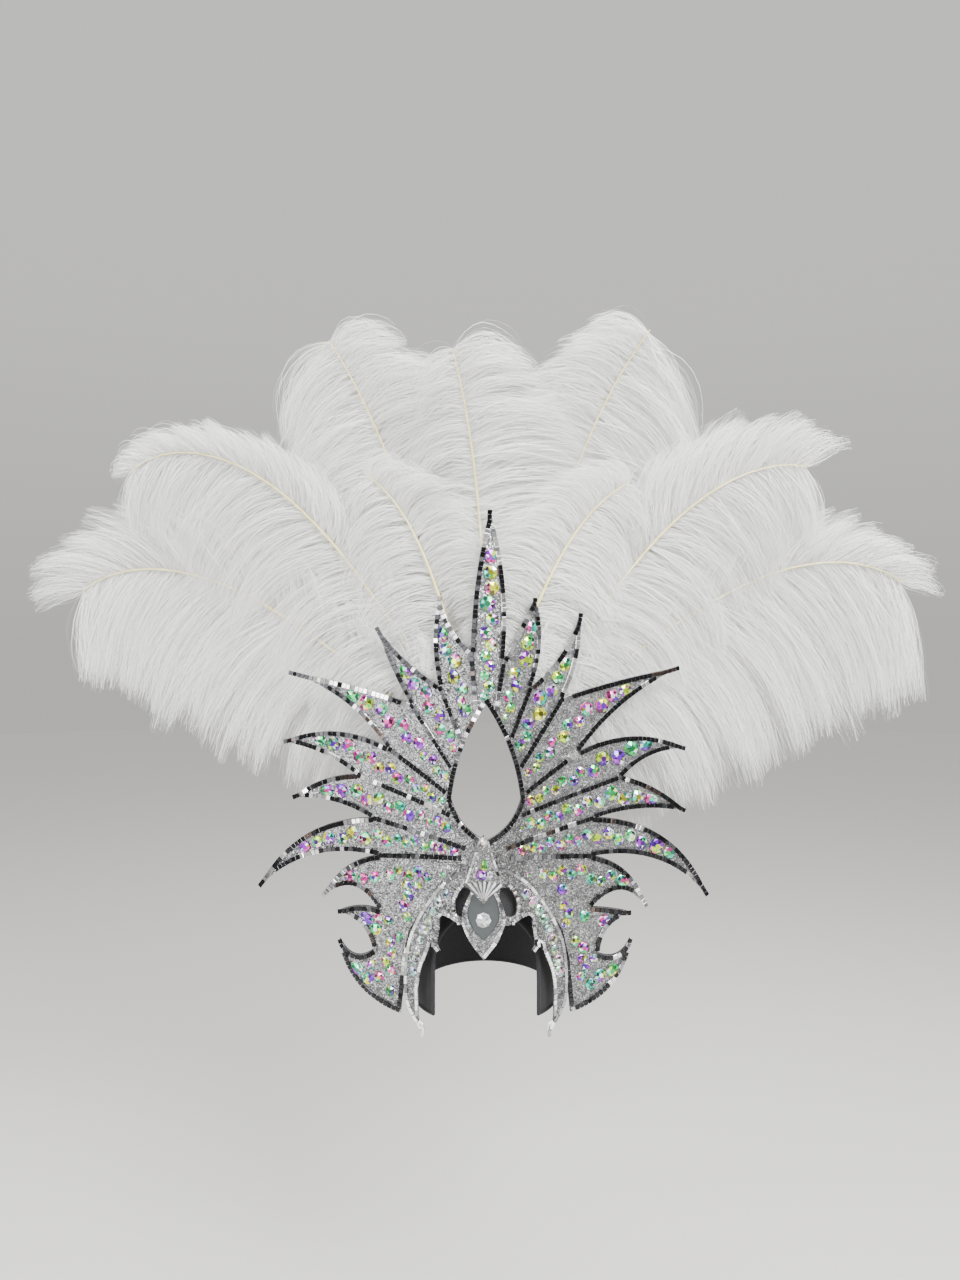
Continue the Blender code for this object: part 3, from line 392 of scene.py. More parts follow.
def bent(across, up, depth):
    return Vector((across, bend(across) - depth, up))


def seat(across, up, depth, heading=0.0):
    """The place of a small piece on the bent front: X runs along its heading and Z out to the viewer."""
    slope = bend_slope(across)
    along = Vector((1.0, slope, 0.0)).normalized()
    out = Vector((slope, -1.0, 0.0)).normalized()
    turn = Matrix((along, Vector((0.0, 0.0, 1.0)), out)).transposed().to_4x4()
    return Matrix.Translation(bent(across, up, depth)) @ turn @ Matrix.Rotation(heading, 4, "Z")


def folded_lines():
    """Where the model's sheets are folded, and how far back they lie there, out past the plumes."""
    half = [INNER_STATION_SPACE * (number + 1) for number in range(INNER_STATION_COUNT)]
    half += [half[-1] + OUTER_STATION_SPACE * (number + 1) for number in range(OUTER_STATION_COUNT)]
    slope = (bend(half[-1]) - bend(half[-2])) / (half[-1] - half[-2])
    far = bend(half[-1]) + slope * (FAR_SIDE - half[-1])
    lines = [-FAR_SIDE] + [-place for place in half[::-1]] + [0.0] + half + [FAR_SIDE]
    backs = [far] + [bend(place) for place in lines[1:-1]] + [far]
    return lines, backs


def bowed(start, end, bow, count):
    """Points along an edge that bows to its left by this share of its length, without its two ends."""
    start, end = Vector(start), Vector(end)
    run = end - start
    left = Vector((-run.y, run.x))
    shares = [(number + 1) / (count + 1) for number in range(count)]
    return [start + run * share + left * bow * 4 * share * (1 - share) for share in shares]


def crown_point(side, across, up):
    return Vector((side * across * CROWN_HALF_WIDTH, CROWN_BOTTOM + up * CROWN_HEIGHT))


def crown_line(side, shares):
    return [crown_point(side, *share) for share in shares]


def spikes_of(side):
    """Each spike of one side as its two edges: the points above the tip, the tip and the points below it."""
    table = rows(SPIKE_COLUMNS, LEFT_SPIKES if side < 0 else RIGHT_SPIKES)
    before = crown_point(1, *TOP_SPIKE["left_valley" if side < 0 else "right_valley"])
    found = []
    for row in table:
        tip = crown_point(side, row["tip_across"], row["tip_up"])
        after = crown_point(side, row["valley_across"], row["valley_up"])
        upper = bowed(before, tip, side * row["upper_bow"], SPIKE_POINTS)
        lower = bowed(after, tip, -side * row["lower_bow"], SPIKE_POINTS)
        found.append({"start": before, "upper": upper, "tip": tip, "lower": lower, "end": after})
        before = after
    return found


def top_spike_edges():
    """The points on the top spike's left and right edges, each from its valley up to the tip."""
    tip = crown_point(1, *TOP_SPIKE["tip"])
    left = bowed(crown_point(1, *TOP_SPIKE["left_valley"]), tip, TOP_SPIKE["left_bow"], SPIKE_POINTS)
    right = bowed(crown_point(1, *TOP_SPIKE["right_valley"]), tip, -TOP_SPIKE["right_bow"], SPIKE_POINTS)
    return left, right


def crown_outline():
    """The plate's outer edge, from the tip of the top spike down the left side and up the right."""
    left = spikes_of(-1)
    left_edge, right_edge = top_spike_edges()
    points = [crown_point(1, *TOP_SPIKE["tip"])] + left_edge[::-1] + [left[0]["start"]]
    for spike in left:
        points += spike["upper"] + [spike["tip"]] + spike["lower"][::-1] + [spike["end"]]
    points += crown_line(-1, PLATE_INNER_EDGE) + crown_line(1, PLATE_INNER_EDGE[::-1])
    for spike in spikes_of(1)[::-1]:
        points += [spike["end"]] + spike["lower"] + [spike["tip"]] + spike["upper"][::-1]
    points.append(crown_point(1, *TOP_SPIKE["right_valley"]))
    return points + right_edge


def window_outline():
    """The drop-shaped window."""
    top = Vector((0.0, CROWN_BOTTOM + WINDOW_TOP * CROWN_HEIGHT))
    bottom = Vector((0.0, CROWN_BOTTOM + WINDOW_BOTTOM * CROWN_HEIGHT))
    wide = Vector((WINDOW_HALF_WIDTH, CROWN_BOTTOM + WINDOW_WIDE_UP * CROWN_HEIGHT))
    above, below = WINDOW_BOWS
    right = [bottom] + bowed(bottom, wide, -below, WINDOW_POINTS)
    right += [wide] + bowed(wide, top, -above, WINDOW_POINTS) + [top]
    left = [Vector((-point.x, point.y)) for point in right[-2:0:-1]]
    return right + left


def petals():
    """The petals as matched points on their two edges, from the inner ends of their lines out, and a tip."""
    found = {}
    tip = crown_point(1, *TOP_SPIKE["tip"])
    starts = crown_line(1, (TOP_SPIKE["left_valley"], TOP_SPIKE["right_valley"]))
    roots = [crown_point(side, *DIVIDER_ENDS[0]) for side in (-1, 1)]
    edges = top_spike_edges()
    lines = [[root, start] + edge for root, start, edge in zip(roots, starts, edges)]
    found["centre"] = (list(zip(*lines)), tip)
    for side, name in ((-1, "left"), (1, "right")):
        for number, spike in enumerate(spikes_of(side)[:PETALS_PER_SIDE]):
            inner = crown_line(side, DIVIDER_ENDS[number:number + 2])
            near = [inner[0], spike["start"]] + spike["upper"]
            far = [inner[1], spike["end"]] + spike["lower"]
            found[f"{name}_{number + 1}"] = (list(zip(near, far)), spike["tip"])
    return found


def claws_of(side):
    """The side panel's claws, each as matched points on its two edges, and its tip."""
    found = []
    for spike in spikes_of(side)[PETALS_PER_SIDE:]:
        matched = list(zip([spike["start"]] + spike["upper"], [spike["end"]] + spike["lower"]))
        found.append((matched, spike["tip"]))
    return found


def interior(matched, tip, margins):
    """A petal's outline moved in from its two edges, ending where the two moved edges meet."""
    near, far = [], []
    for (a, b), (margin_a, margin_b) in zip(matched, margins):
        across = b - a
        width = across.length
        if width <= margin_a + margin_b + PETAL_END_WIDTH:
            break
        near.append(a + across / width * margin_a)
        far.append(b - across / width * margin_b)
    middle = (near[-1] + far[-1]) / 2
    left = (near[-1] - far[-1]).length
    onward = tip - middle
    point = middle + onward.normalized() * min(PETAL_POINT * left, PETAL_POINT_SHARE * onward.length)
    return near + [point] + far[::-1]


def petal_interior(matched, tip):
    """The inside of a petal, within its tape."""
    shared = CROWN_TAPE / 2
    edge = CROWN_TAPE * EDGE_MARGIN
    margins = [(shared, shared)] * 2 + [(edge, edge)] * (len(matched) - 2)
    start_a, start_b = matched[0]
    next_a, next_b = matched[1]
    inward = ((next_a + next_b) / 2 - (start_a + start_b) / 2).normalized()
    inset = inward * CROWN_TAPE * PETAL_ROOT_INSET
    return interior([(start_a + inset, start_b + inset)] + matched[1:], tip, margins)


def stepped(point, side, step):
    return point + Vector((side * step[0], step[1])) * CROWN_TAPE


def side_panel_interior(side):
    """The inside of the side panel, which carries the claws, within its tape."""
    claws = claws_of(side)
    points = [stepped(crown_point(side, *DIVIDER_ENDS[-1]), side, SIDE_PANEL_ROOT)]
    points.append(stepped(claws[0][0][0][0], side, SIDE_PANEL_TOP))
    margins = [(CROWN_TAPE, CROWN_TAPE)] * SPIKE_POINTS
    for number, (matched, tip) in enumerate(claws):
        points += interior(matched[1:], tip, margins)
        last = number == len(claws) - 1
        points.append(stepped(matched[0][1], side, SIDE_PANEL_FOOT if last else SIDE_PANEL_VALLEY))
    inner = crown_line(side, PLATE_INNER_EDGE[:-1])
    return points + [stepped(point, side, SIDE_PANEL_EDGE) for point in inner]


def room_at(place, outline):
    """The distance from a place inside an outline to its nearest edge, or less than nothing outside it."""
    nearest = 1.0
    inside = False
    for a, b in zip(outline, outline[1:] + outline[:1]):
        run = b - a
        share = min(max((place - a).dot(run) / max(run.length_squared, 1e-12), 0.0), 1.0)
        nearest = min(nearest, (place - a - run * share).length)
        if (a.y > place.y) != (b.y > place.y) and place.x < a.x + run.x * (place.y - a.y) / run.y:
            inside = not inside
    return nearest if inside else -nearest


def moved_in(points, distance):
    """A closed outline moved in by a distance, corner by corner."""
    turning = sum(a.x * b.y - b.x * a.y for a, b in zip(points, points[1:] + points[:1]))
    inward = 1 if turning > 0 else -1
    moved = []
    for before, point, after in zip(points[-1:] + points[:-1], points, points[1:] + points[:1]):
        first = (point - before).normalized()
        second = (after - point).normalized()
        normal_a = Vector((-first.y, first.x)) * inward
        normal_b = Vector((-second.y, second.x)) * inward
        middle = normal_a + normal_b
        reach = min(2.0 / max(middle.length, 1e-3), LONGEST_MITRE)
        moved.append(point + middle.normalized() * distance * reach)
    return moved


def rounded(points, count=6):
    """A smooth line through the points, which keeps its two ends."""
    ends = [points[0] * 2 - points[1]] + list(points) + [points[-1] * 2 - points[-2]]
    made = []
    for a, b, c, d in zip(ends, ends[1:], ends[2:], ends[3:]):
        for step in range(count):
            t = step / count
            square = 2 * a - 5 * b + 4 * c - d
            cube = 3 * b - a - 3 * c + d
            made.append(0.5 * ((2 * b) + (c - a) * t + square * t * t + cube * t ** 3))
    return made + [points[-1]]


def rounded_ring(points, count=6):
    """A smooth closed line through the points."""
    wrapped = [points[-1]] + list(points) + [points[0], points[1]]
    line = rounded(wrapped, count)
    return line[count:count * (len(points) + 1)]


def frame_point(side, across, down):
    return Vector((side * across * FRAME_HALF_WIDTH, FRAME_TOP - down * FRAME_HEIGHT))


def frame_line(side, shares):
    return [frame_point(side, *share) for share in shares]


def frame_lines(side):
    """One half of the face frame as its outer edge, its inner edge and the arc over the brow."""
    inner = (FRAME_TIP,) + FRAME_INNER + (FRAME_HOOK,)
    edges = (FRAME_OUTER + (FRAME_TIP,), inner, (FRAME_HOOK,) + FRAME_ARC)
    return [rounded(frame_line(side, edge)) for edge in edges]


def frame_outlines():
    halves = []
    for side in (-1, 1):
        outer, inner, arc = frame_lines(side)
        halves.append(outer + inner[1:] + arc[1:])
    holes = [rounded_ring(frame_line(side, FRAME_HOLE)) for side in (-1, 1)]
    return [halves[0] + halves[1][::-1]] + holes


def panel_outline(shape, half_width, top, height):
    """An outline that is the same on both sides of the brow group's middle line."""
    right = [Vector((GROUP_ACROSS + across * half_width, top - down * height)) for across, down in shape]
    left = [Vector((2 * GROUP_ACROSS - point.x, point.y)) for point in right[-2:0:-1]]
    return right + left



def lengths_of(path):
    return [(b - a).length for a, b in zip(path, path[1:])]


def walk(path, lengths, distance):
    """The place and heading at a distance along a path."""
    for a, b, length in zip(path, path[1:], lengths):
        if distance <= length:
            break
        distance -= length
    run = b - a
    return a + run * min(distance / max(length, 1e-9), 1.0), math.atan2(run.y, run.x)


def link(name, data):
    """A new object in the scene that holds this data."""
    made = bpy.data.objects.new(name, data)
    bpy.context.scene.collection.objects.link(made)
    return made


def evaluated(made):
    """A new mesh of an object as its curve or its modifiers make it."""
    bpy.context.view_layer.update()
    graph = bpy.context.evaluated_depsgraph_get()
    return bpy.data.meshes.new_from_object(made.evaluated_get(graph))


def curve_of(name, dimensions, lines, closed):
    """A curve of straight runs through each line of places."""
    curve = bpy.data.curves.new(name, "CURVE")
    curve.dimensions = dimensions
    for line in lines:
        spline = curve.splines.new("POLY")
        spline.points.add(len(line) - 1)
        for point, place in zip(spline.points, line):
            point.co = (*place, 1.0)
        spline.use_cyclic_u = closed
    return curve


def surface_of(name, curve):
    """The curve's surface, welded, as a new object in its place."""
    made = link(name + "_curve", curve)
    mesh = evaluated(made)
    work = bmesh.new()
    work.from_mesh(mesh)
    bmesh.ops.remove_doubles(work, verts=work.verts, dist=1e-6)
    bmesh.ops.recalc_face_normals(work, faces=work.faces)
    work.to_mesh(mesh)
    work.free()
    bpy.data.objects.remove(made)
    bpy.data.curves.remove(curve)
    return link(name, mesh)


def flat_sheet(name, outlines, depth, thickness):
    """A flat sheet with holes, still unbent: X across, Y up, Z the depth towards the viewer."""
    curve = curve_of(name, "2D", [[(*point, 0.0) for point in outline] for outline in outlines], True)
    curve.fill_mode = "BOTH"
    curve.extrude = thickness / 2
    made = surface_of(name, curve)
    made.data.transform(Matrix.Translation((0, 0, depth + thickness / 2)))
    return made


def sheet(name, outlines, depth, thickness, look, slot, *nodes):
    """A sheet with holes, bent smoothly round the head."""
    made = flat_sheet(name, outlines, depth, thickness)
    work = bmesh.new()
    work.from_mesh(made.data)
    bmesh.ops.dissolve_limit(work, angle_limit=0.002, verts=work.verts, edges=work.edges)
    widest = max(abs(vertex.co.x) for vertex in work.verts)
    for number in range(-int(widest / SMOOTH_STEP), int(widest / SMOOTH_STEP) + 1):
        everything = list(work.verts) + list(work.edges) + list(work.faces)
        fold = {"plane_co": (number * SMOOTH_STEP, 0, 0), "plane_no": (1, 0, 0)}
        bmesh.ops.bisect_plane(work, geom=everything, dist=1e-6, **fold)
    bmesh.ops.triangulate(work, faces=work.faces)
    for vertex in work.verts:
        vertex.co = bent(vertex.co.x, vertex.co.y, vertex.co.z)
    bmesh.ops.recalc_face_normals(work, faces=work.faces)
    work.to_mesh(made.data)
    work.free()
    finished(made, look, slot, *nodes, smooth=True)


def finished(made, look, slot, *nodes, smooth=False):
    """Give a piece its look, fix it to the root and hide the model's nodes that it stands for; its slot is
    not used.
    """
    made.data.materials.clear()
    made.data.materials.append(LOOKS[look])
    if smooth:
        made.data.shade_smooth()
        made.data.set_sharp_from_angle(angle=math.radians(35))
    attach(made, "root")
    if nodes:
        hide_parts(*nodes)


def lit(colour, light):
    return tuple(min(channel * light, 1.0) for channel in colour)


class Facets:
    """Small faces collected with a colour each, and made into one object."""

    def __init__(self):
        self.points = []
        self.faces = []
        self.colours = []

    def add(self, place, points, faces, colours):
        start = len(self.points)
        self.points += [place @ Vector(point) for point in points]
        self.faces += [tuple(start + corner for corner in face) for face in faces]
        self.colours += colours

    def make(self, name, look, slot, *nodes):
        mesh = bpy.data.meshes.new(name)
        mesh.from_pydata(self.points, [], self.faces)
        tint = mesh.color_attributes.new("tint", "FLOAT_COLOR", "CORNER")
        for polygon, colour in zip(mesh.polygons, self.colours):
            for loop in polygon.loop_indices:
                tint.data[loop].color = (*colour, 1.0)
        finished(link(name, mesh), look, slot, *nodes)


def stone_faces():
    """The faces of a cut stone by its rings' corners: its girdle, kites and triangles, and its table."""
    faces = []
    girdle, crown, table = (STONE_SIDES * number for number in (1, 2, 3))
    for i in range(STONE_SIDES):
        j = (i + 1) % STONE_SIDES
        faces.append((i, j, girdle + j, girdle + i))
        faces.append((girdle + i, girdle + j, crown + i))
        faces.append((girdle + j, crown + j, crown + i))
        faces.append((crown + i, crown + j, table + j))
        faces.append((crown + i, table + j, table + i))
    return faces + [tuple(table + i for i in range(STONE_SIDES))]


def stone(facets, place, radius, dice, looks=STONE_LOOKS, stretch=1.0, glints=GLINT_CHANCE, dimmest=0.0):
    """A cut stone whose facets each show their own colour; stretch pulls one half out into a drop."""
    points = []
    for share, height, turn in STONE_RINGS:
        for number in range(STONE_SIDES):
            angle = 2 * math.pi * (number + turn) / STONE_SIDES
            across = share * radius * math.cos(angle)
            across *= stretch if across > 0 else 1.0
            points.append((across, share * radius * math.sin(angle), height * radius))
    faces = stone_faces()
    chosen = [dice.choice(looks) for _ in range(3)]
    turn = dice.uniform(0, 2 * math.pi)
    colours = []
    for face in faces:
        middle = sum((Vector(points[corner]) for corner in face), Vector()) / len(face)
        angle = math.atan2(middle.y, middle.x) - turn
        pick = chosen[int(math.floor(1.5 * angle / math.pi)) % 3]
        if dice.random() < STRAY_FACET_CHANCE:
            pick = dice.choice(looks)
        # painted reflection: each facet is painted lighter or darker, and some are painted near white as
        # glints
        light = max(dice.choice(FACET_LIGHTS), dimmest)
        if dice.random() < glints:
            pick, light = GLINT, 1.0
        colours.append(lit(pick, light))
    facets.add(place, points, faces, colours)


class TileRows(Facets):
    """Rows of mirror tiles in one object, none of them over an earlier row's."""

    def __init__(self, seed):
        super().__init__()
        self.dice = random.Random(seed)
        self.centres = []

    def look(self, weights):
        return self.dice.choices(list(TILE_LOOKS), weights)[0]

    def tile(self, place, length, width, look):
        """A small mirror with a bevel, tilted a little as glued tiles are."""
        points = []
        for inset, lift in TILE_LEVELS:
            for x, y in TILE_CORNERS:
                half_length, half_width = length / 2 - inset * width, width / 2 - inset * width
                points.append((x * half_length, y * half_width, lift * TILE_HEIGHT))
        around = ((0, 1), (1, 2), (2, 3), (3, 0))
        faces = [(a + b, a + c, a + c + 4, a + b + 4) for a in (0, 4) for b, c in around]
        faces.append((8, 9, 10, 11))
        tilts = [Matrix.Rotation(self.dice.gauss(0, TILE_TILT), 4, axis) for axis in "XY"]
        colour = lit(TILE_LOOKS[look], self.dice.uniform(*TILE_LIGHT))
        self.add(place @ tilts[0] @ tilts[1], points, faces, [colour] * len(faces))

    def row(self, path, size, depth, weights, stretch=1.0):
        """Tiles of one pitch and width along a path of flat points; stretch makes strips of them."""
        pitch, width = size
        lengths = lengths_of(path)
        count = max(int(sum(lengths) / (pitch * stretch) + 0.3), 1)
        step = sum(lengths) / count
        look = self.look(weights)
        earlier = list(self.centres)
        for number in range(count):
            place, heading = walk(path, lengths, (number + 0.5) * step)
            if any((place - other).length < reach for other, reach in earlier):
                continue
            self.centres.append((place, TILE_REACH * width))
            if self.dice.random() < NEW_LOOK_CHANCE:
                look = self.look(weights)
            where = seat(place.x, place.y, depth, heading)
            self.tile(where, step - TILE_SEAM, width - TILE_ROW_SEAM, look)


# Materials

class Nodes:
    """The nodes of a material or of the world, with its last node as the end."""

    def __init__(self, tree, end):
        self.nodes = tree.nodes
        self.links = tree.links
        self.end = tree.nodes[end]

    def add(self, kind, **settings):
        made = self.nodes.new("ShaderNode" + kind)
        for name, value in settings.items():
            if hasattr(made, name):
                setattr(made, name, value)
            else:
                made.inputs[name].default_value = value
        return made

    def feed(self, socket, output):
        self.links.new(output, self.end.inputs[socket])

    def texture(self, kind, output, **settings):
        """A texture laid in the object's own lengths."""
        made = self.add("Tex" + kind, **settings)
        self.links.new(self.add("TexCoord").outputs["Object"], made.inputs["Vector"])
        return made.outputs[output]

    def ramp(self, source, stops):
        made = self.add("ValToRGB")
        points = made.color_ramp.elements
        while len(points) < len(stops):
            points.new(0.5)
        for point, (position, colour) in zip(points, stops):
            point.position = position
            point.color = (*colour, 1.0)
        self.links.new(source, made.inputs["Fac"])
        return made.outputs["Color"]

    def vector(self, operation, *values):
        """A sum or product and the like of outputs and fixed values."""
        made = self.add("VectorMath", operation=operation)
        for socket, value in zip(made.inputs, values):
            if isinstance(value, tuple):
                socket.default_value = value
            else:
                self.links.new(value, socket)
        return made.outputs["Vector"]


def new_look(name, colour, roughness, **more):
    """A material and its nodes; more are its shader's sockets, named with _ for a space."""
    made = bpy.data.materials.new(name)
    made.use_nodes = True
    nodes = Nodes(made.node_tree, "Principled BSDF")
    nodes.end.inputs["Base Color"].default_value = (*colour, 1.0)
    nodes.end.inputs["Roughness"].default_value = roughness
    for socket, value in more.items():
        nodes.end.inputs[socket.replace("_", " ")].default_value = value
    return made, nodes


def glitter_look(name, shade=1.0):
    """Glitter cloth: flakes under a millimetre that each catch the light their own way, by tilted normals
    and by painted reflections and glints in their colours.
    """
    made, nodes = new_look(name, (0.6, 0.6, 0.62), 0.30, Metallic=0.85)
    flakes = nodes.texture("Voronoi", "Color", Scale=1150.0)
    split = nodes.add("SeparateColor")
    nodes.links.new(flakes, split.inputs["Color"])
    # painted reflections: each flake's colour runs from dark to white, and the whitest flakes are painted
    # glints
    painted_flake_glints = nodes.ramp(split.outputs["Red"], (
        (0.0, (0.10 * shade,) * 3),
        (0.42, (0.21 * shade,) * 3),
        (0.80, (0.36 * shade, 0.37 * shade, 0.39 * shade)),
        (0.92, (0.90 * shade,) * 3),
        (0.97, (1.0,) * 3),
    ))
    patches = nodes.texture("Noise", "Fac", Scale=150.0, Detail=2.0)
    depths = nodes.ramp(patches, ((0.32, (0.5,) * 3), (0.68, (1.0,) * 3)))
    nodes.feed("Base Color", nodes.vector("MULTIPLY", painted_flake_glints, depths))
    centred = nodes.vector("SUBTRACT", flakes, (0.5,) * 3)
    scattered = nodes.vector("MULTIPLY", centred, (0.6,) * 3)
    tilted = nodes.vector("ADD", nodes.add("NewGeometry").outputs["Normal"], scattered)
    nodes.feed("Normal", nodes.vector("NORMALIZE", tilted))
    return made


def tinted_look(name, colour, roughness, **more):
    """A material that takes each face's own colour."""
    made, nodes = new_look(name, colour, roughness, **more)
    nodes.feed("Base Color", nodes.add("VertexColor", layer_name="tint").outputs["Color"])
    return made


def mottled_look(name, colour, stops, scale, detail, roughness, rough_cloth=False, **more):
    """A material that runs unevenly between two tones; rough cloth has a fine grain as well."""
    made, nodes = new_look(name, colour, roughness, **more)
    cloud = nodes.texture("Noise", "Fac", Scale=scale, Detail=detail)
    nodes.feed("Base Color", nodes.ramp(cloud, stops))
    if rough_cloth:
        lift = nodes.add("Bump", Strength=0.35, Distance=0.0004)
        nodes.links.new(cloud, lift.inputs["Height"])
        nodes.feed("Normal", lift.outputs["Normal"])
    return made


def felt_look(name, colour, sheen):
    """Dark stretch cloth or foam."""
    stops = ((0.3, lit(colour, 0.6)), (0.7, lit(colour, 1.6)))
    return mottled_look(name, colour, stops, 900.0, 4.0, 0.92, True, Sheen_Weight=sheen, Sheen_Roughness=0.4)


def all_looks():
    gloss = {"Coat_Weight": 0.5, "Coat_Roughness": 0.04}
    grey = (0.035, 0.042, 0.045)
    glass = {"Metallic": 0.15, "Coat_Weight": 0.8, "Coat_Roughness": 0.08}
    glass_stops = ((0.3, lit(grey, 0.75)), (0.75, lit(grey, 1.3)))
    horn_stops = ((0.3, (0.74, 0.63, 0.20)), (0.7, (0.90, 0.82, 0.42)))
    horn = (0.86, 0.80, 0.42)
    barb = {"Sheen_Weight": 0.25, "Specular_IOR_Level": 0.25}
    return {
        "glitter": glitter_look("silver_glitter"),
        "grout": glitter_look("silver_grout", 0.75),
        "frame": glitter_look("frame_glitter", 0.72),
        "mirror": tinted_look("mirror_glass", (0.5, 0.5, 0.5), 0.10, Metallic=1.0, **gloss),
        "stone": tinted_look("rainbow_stone", (0.5, 0.5, 0.5), 0.10, Metallic=0.55, **gloss),
        "foil": tinted_look("silver_foil", (0.5, 0.5, 0.5), 0.28, Metallic=0.9, **gloss),
        "foam": felt_look("black_foam_board", (0.030, 0.030, 0.032), 0.05),
        "felt": felt_look("black_stretch_cloth", (0.010, 0.010, 0.012), 0.08),
        "glass": mottled_look("grey_glass", grey, glass_stops, 55.0, 4.0, 0.30, **glass),
        "feather": tinted_look("ostrich_barb", (0.93, 0.93, 0.91), 0.55, **barb),
        "horn": mottled_look("quill_horn", horn, horn_stops, 160.0, 3.0, 0.35, Coat_Weight=0.3),
    }


# Plumes

def plume_quill(plume, along):
    """Places, headings in degrees and layer depths of a quill at an array of shares of its length."""
    steps = 64
    shares = (np.arange(steps) + 0.5) / steps
    headings = np.radians(plume["lean"] + plume["turn"] * shares + plume["fall"] * shares ** FALL_POWER)
    step = plume["length"] * PLUME_LENGTH / steps
    root = crown_point(plume["side"], plume["across"], plume["up"])
    across = root.x + np.concatenate([[0], np.cumsum(plume["side"] * np.sin(headings) * step)])
    up = root.y + np.concatenate([[0], np.cumsum(np.cos(headings) * step)])
    knots = np.arange(steps + 1) / steps
    heading = plume["lean"] + plume["turn"] * along + plume["fall"] * along ** FALL_POWER
    glued = PLATE_THICKNESS + GAP + QUILL_LIFT * QUILL_BASE_RADIUS
    full = PLATE_THICKNESS + FIRST_LAYER + LAYER_SPACING * plume["layer"]
    share = np.clip((along * plume["length"] * PLUME_LENGTH - GLUED_LENGTH) / RUN_BACK, 0, 1)
    layer = glued + (full - glued) * share * share * (3 - 2 * share)
    return np.interp(along, knots, across), np.interp(along, knots, up), heading, layer


def back_at(across, up, layer):
    """How far back a plume lies at these places, with its outer reach nodding forward."""
    lines, backs = folded_lines()
    reach = np.hypot(across, up - NOD_CENTRE_UP)
    nod = np.maximum(reach - NOD_START, 0) / (NOD_REACH - NOD_START)
    return np.interp(across, lines, backs) + layer - NOD_FORWARD * nod ** NOD_POWER


def barb_paths(plume, vane, side, changes):
    """Points and headings of many barbs at once; changes shift their start, droop and reach."""
    along = BARE_SHARE + (1 - BARE_SHARE) * vane
    spread = SPREAD_AT_ROOT + (plume["tip_spread"] - SPREAD_AT_ROOT) * vane ** SPREAD_POWER
    x, z, heading, layer = plume_quill(plume, along)
    start = heading + side * (spread + changes["start"])
    upper = np.full(len(vane), float(plume["upper_fall"]))
    if plume["upper_fall"] > 0:
        upper = np.maximum(upper, heading + LEAST_UPPER_FALL)
    fall = np.where(side > 0, LOWER_FALL, upper)
    end = start + (fall - start) * DROOP * changes["droop"]
    widths = np.where(side > 0, plume["lower_vane"], plume["upper_vane"])
    swell = np.sin(np.pi * np.minimum(vane * VANE_RUN + VANE_START, 1.0))
    reach = VANE_WIDTH * widths * (VANE_BASE + VANE_SWELL * swell) * changes["reach"]
    step = reach * (1 - (1 - plume["tip_vane"]) * vane ** TIP_POWER) / STRAND_STEPS
    across, up, turns = [x], [z], []
    for number in range(STRAND_STEPS):
        part = (number + 0.5) / STRAND_STEPS
        turned = np.radians(start + (end - start) * part ** CURL_POWER)
        x = x + plume["side"] * np.sin(turned) * step
        z = z + np.cos(turned) * step
        across.append(x)
        up.append(z)
        turns.append(turned)
    return np.array(across), np.array(up), np.array(turns + [turns[-1]]), layer


